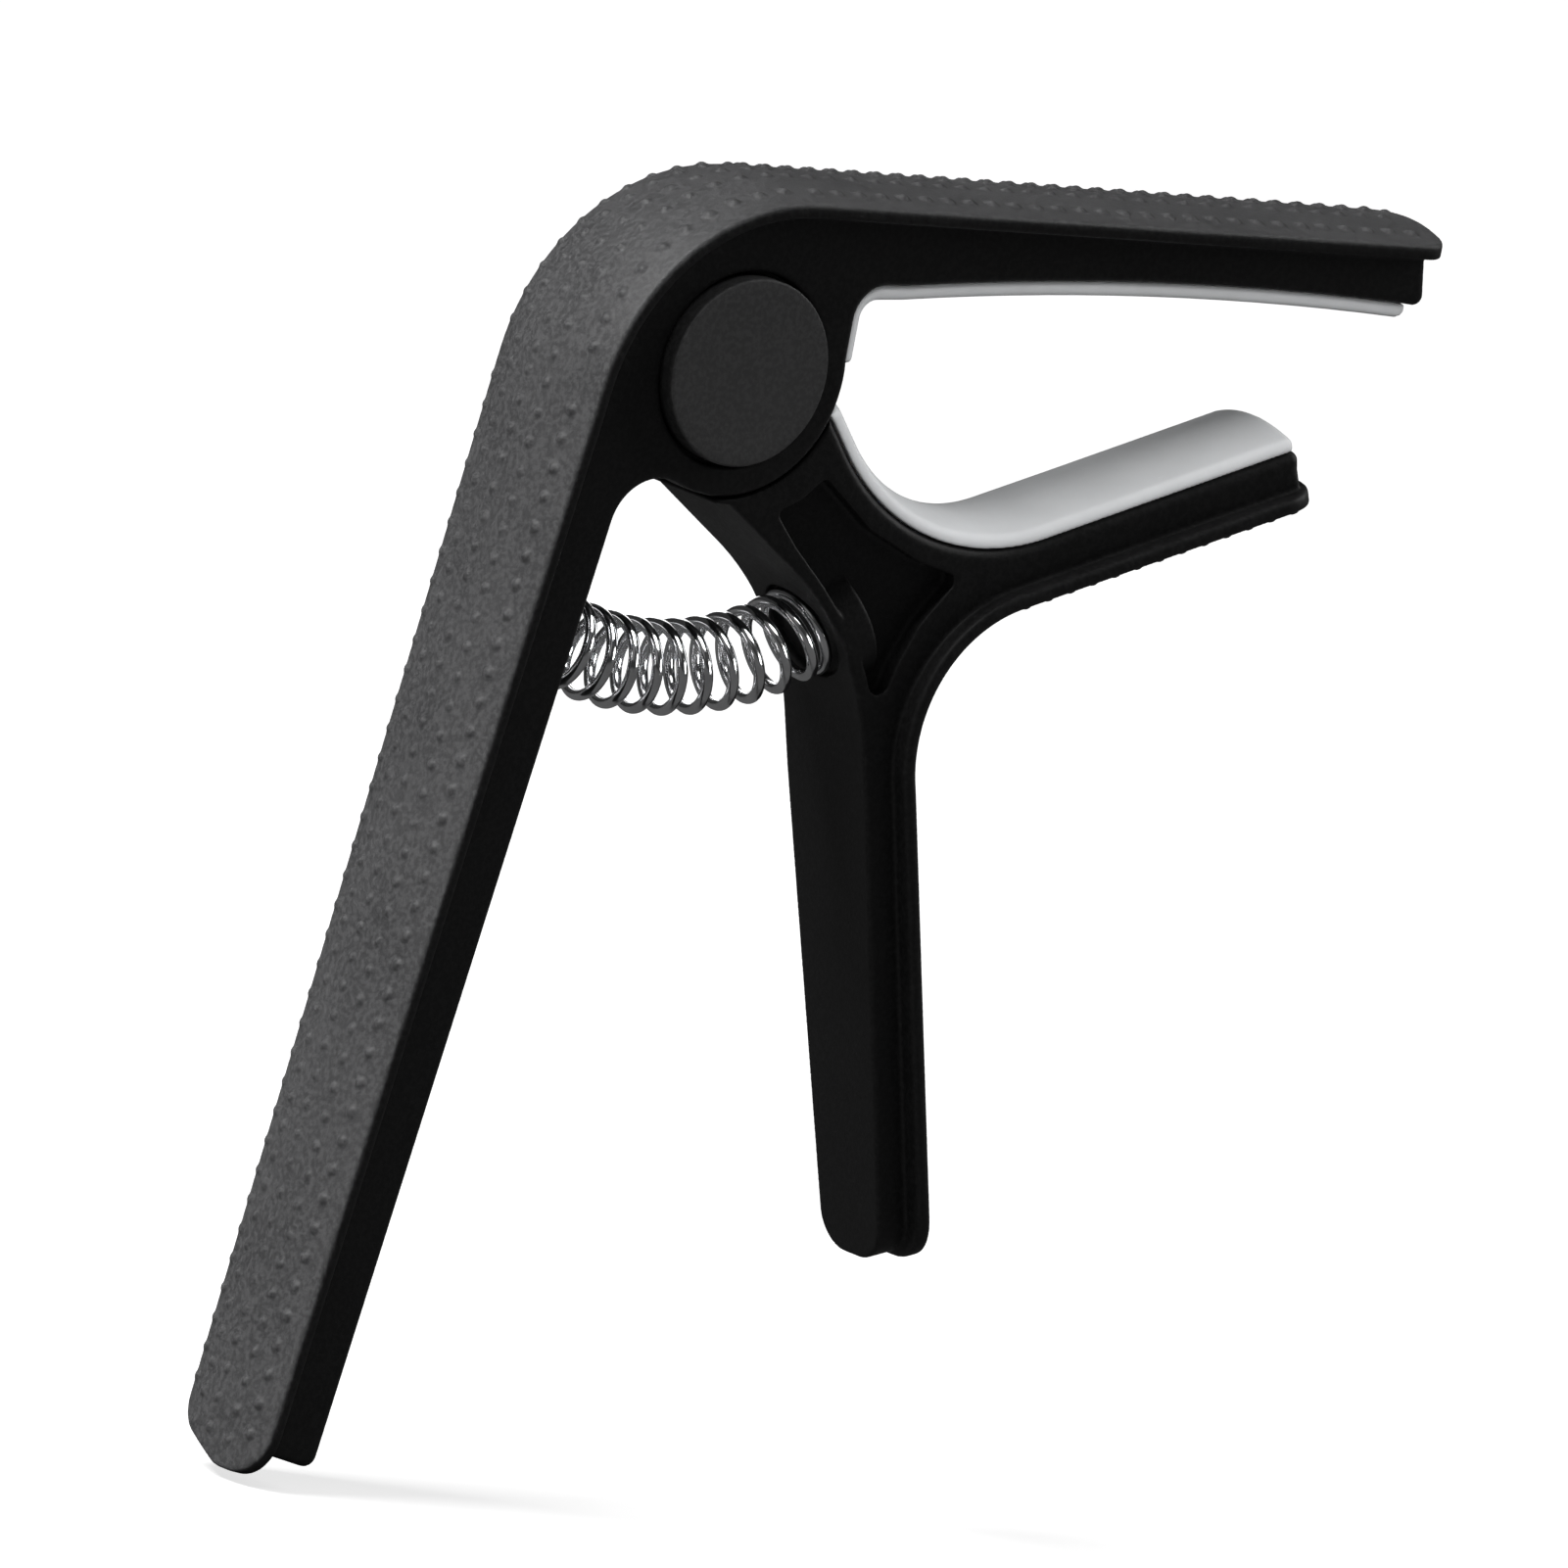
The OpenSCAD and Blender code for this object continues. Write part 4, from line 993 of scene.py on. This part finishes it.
# CAD pieces kept as they are, with their edges broken
for node, material in (
        ("pivot_pin", pin_metal), ("pivot_bush", bush_metal),
        ("front_thrust_washer", washer_nylon), ("rear_thrust_washer", washer_nylon),
        ("front_retaining_ring", ring_metal), ("rear_retaining_ring", ring_metal)):
    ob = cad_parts[node]
    if len(ob.material_slots) == 0:
        ob.data.materials.append(material)
    for slot in ob.material_slots:
        slot.material = material
    bevel = ob.modifiers.new("edge_break", "BEVEL")
    bevel.width = 0.00008
    bevel.segments = 2
    bevel.limit_method = "ANGLE"
    bevel.angle_limit = math.radians(40)

# ---- floor, world, lights and camera, in metres ------------------------------
scene = bpy.context.scene


def floor_material():
    look = Look("floor_pale_paper")
    look.set(Base_Color=look.ramp(look.noise(scale=6, detail=3),
                                  (0.3, (0.86, 0.86, 0.86)), (0.7, (0.89, 0.89, 0.89))),
             Roughness=0.85, Specular_IOR_Level=0.2)
    look.bump((look.noise(scale=300, detail=3, roughness=0.6), 0.0001, 0.05))
    # seen directly it is lit paper; in reflections it is kept quiet, as a flag would
    path = look.node("ShaderNodeLightPath")
    glow = look.node("ShaderNodeEmission", {"Strength": 0.72})
    lit = look.node("ShaderNodeAddShader", {0: look.shader.outputs[0], 1: glow.outputs[0]})
    quiet = look.node("ShaderNodeBsdfDiffuse", {"Color": (0.17, 0.17, 0.17, 1)})
    mix = look.node("ShaderNodeMixShader", {
        "Fac": path.outputs["Is Camera Ray"], 1: quiet.outputs[0], 2: lit.outputs[0]})
    feed(look.tree, look.tree.nodes["Material Output"].inputs["Surface"], mix.outputs[0])
    return look.material


def build_floor():
    """Wide pale floor, with a slight roll-off at its edges."""
    floor_z = cad_box[0][2] - 0.0002
    count, points, faces = 24, [(0, 0, floor_z)], []
    rings = ((0.5, 0), (1.5, 0), (3.0, 0), (4.0, -0.01), (4.5, -0.06))   # (radius, height)
    for radius, height in rings:
        for k in range(count):
            angle = 2 * math.pi * k / count
            points.append((radius * math.cos(angle), radius * math.sin(angle), floor_z + height))
    for k in range(count):
        m = (k + 1) % count
        faces.append((0, 1 + k, 1 + m))
        for i in range(len(rings) - 1):
            a, b = 1 + i * count, 1 + (i + 1) * count
            faces.append((a + k, b + k, b + m, a + m))
    mesh = bpy.data.meshes.new("floor")
    mesh.from_pydata(points, [], faces)
    for face in mesh.polygons:
        face.use_smooth = True
    ob = bpy.data.objects.new("floor", mesh)
    scene.collection.objects.link(ob)
    mesh.materials.append(floor_material())
    return ob


def build_world():
    """Dim light for the scene, bright where the camera sees it."""
    world = bpy.data.worlds.new("studio")
    world.use_nodes = True
    tree = world.node_tree
    dim = tree.nodes["Background"]
    dim.inputs["Color"].default_value = (1.0, 1.0, 1.0, 1)
    dim.inputs["Strength"].default_value = 0.035
    bright = add_node(tree, "ShaderNodeBackground", {"Strength": 1.0})
    path = add_node(tree, "ShaderNodeLightPath")
    mix = add_node(tree, "ShaderNodeMixShader", {
        "Fac": path.outputs["Is Camera Ray"], 1: dim.outputs[0], 2: bright.outputs[0]})
    feed(tree, tree.nodes["World Output"].inputs["Surface"], mix.outputs[0])
    scene.world = world


build_floor()
build_world()

VIEW_RIGHT = vec(0.79279205, -0.58120763, 0.18351689)
VIEW_UP = vec(-0.05512457, 0.23148864, 0.97127457)
VIEW_AHEAD = vec(0.60699427, 0.78013505, -0.15148353)
TARGET = vec(-0.036650, -0.010448, -0.035511)
LIGHT_AIM = vec(-0.02, 0, -0.03)


def pose(x_axis, y_axis, z_axis, position):
    matrix = np.eye(4)
    matrix[:3] = np.stack((x_axis, y_axis, z_axis, position), 1)
    return Matrix(matrix.tolist())


def area(name, position, size, power, size_y=None):
    """An area light facing the aim point."""
    light = bpy.data.lights.new(name, "AREA")
    light.energy = power
    light.size = size
    if size_y:
        light.shape = "RECTANGLE"
        light.size_y = size_y
    ob = bpy.data.objects.new(name, light)
    z_axis = unit(position - LIGHT_AIM)
    x_axis = unit(np.cross((0, 0, 1), z_axis))
    ob.matrix_world = pose(x_axis, np.cross(z_axis, x_axis), z_axis, position)
    scene.collection.objects.link(ob)
    return ob


def from_view(right, up, back):
    """A place along the view's right and up, and back towards the camera."""
    return TARGET + VIEW_RIGHT * right + VIEW_UP * up - VIEW_AHEAD * back


def around(azimuth, elevation, distance):
    """A place round the object: azimuth from +X towards +Y."""
    flat = heading(azimuth)
    level, rise = heading(elevation)
    return TARGET + distance * vec(level * flat[0], level * flat[1], rise)


def receivers(name, ob):
    """A collection of the one object a light falls on."""
    group = bpy.data.collections.new(name)
    scene.collection.children.link(group)
    group.objects.link(ob)
    return group


def add_cards(group, prefix, cards, gain=1.0):
    for label, azimuth, elevation, size, power in cards:
        card = area(prefix + label, around(azimuth, elevation, 0.7), size, power * gain)
        card.light_linking.receiver_collection = group


area("key_top", from_view(right=-0.45, up=1.10, back=0.55), size=0.5, power=10.5)
side = area("side_left", around(azimuth=167, elevation=34, distance=1.6),
            size=0.8, power=80.0, size_y=1.0)
side.visible_glossy = False                  # no mirror of it on faces seen edge on
area("rim_right", from_view(right=0.80, up=0.45, back=-0.35), size=0.35, power=2.5, size_y=0.8)
area("fill_front", from_view(right=-0.35, up=0.55, back=1.3), size=0.9, power=0.36)
side.light_linking.receiver_collection = receivers("side_receivers", upper_lever)

# white cards, each lighting one piece: (name, azimuth, elevation, size, power)
PIECE_CARDS = [("up", 260, 62, 0.5, 3.0), ("right", 300, 10, 0.3, 1.5)]
SPRING_CARDS = [("up", 260, 62, 0.4, 5.0), ("right", 300, 10, 0.25, 2.5),
                ("back", 60, 25, 0.6, 2.0)]
for label, ob, gain in (("string_pad", string_pad, 1.15), ("neck_pad", neck_pad, 1.2),
                        ("cap", front_cap, 0.2)):
    add_cards(receivers(label + "_receivers", ob), "card_" + label + "_", PIECE_CARDS, gain)
add_cards(receivers("card_receivers", spring), "card_", SPRING_CARDS)

camera_data = bpy.data.cameras.new("camera")
camera_data.type = "ORTHO"                   # seen from far off: the view is all but parallel
camera_data.ortho_scale = 0.110414
camera_data.sensor_width = 36.0
camera_data.sensor_height = 36.0
camera_data.clip_start = 0.01
camera_data.clip_end = 12.0
camera = bpy.data.objects.new("camera", camera_data)
camera.matrix_world = pose(VIEW_RIGHT, VIEW_UP, -VIEW_AHEAD, from_view(right=0, up=0, back=0.6))
scene.collection.objects.link(camera)
scene.camera = camera

scene.view_settings.view_transform = "Standard"
scene.view_settings.look = "None"

bpy.context.view_layer.update()
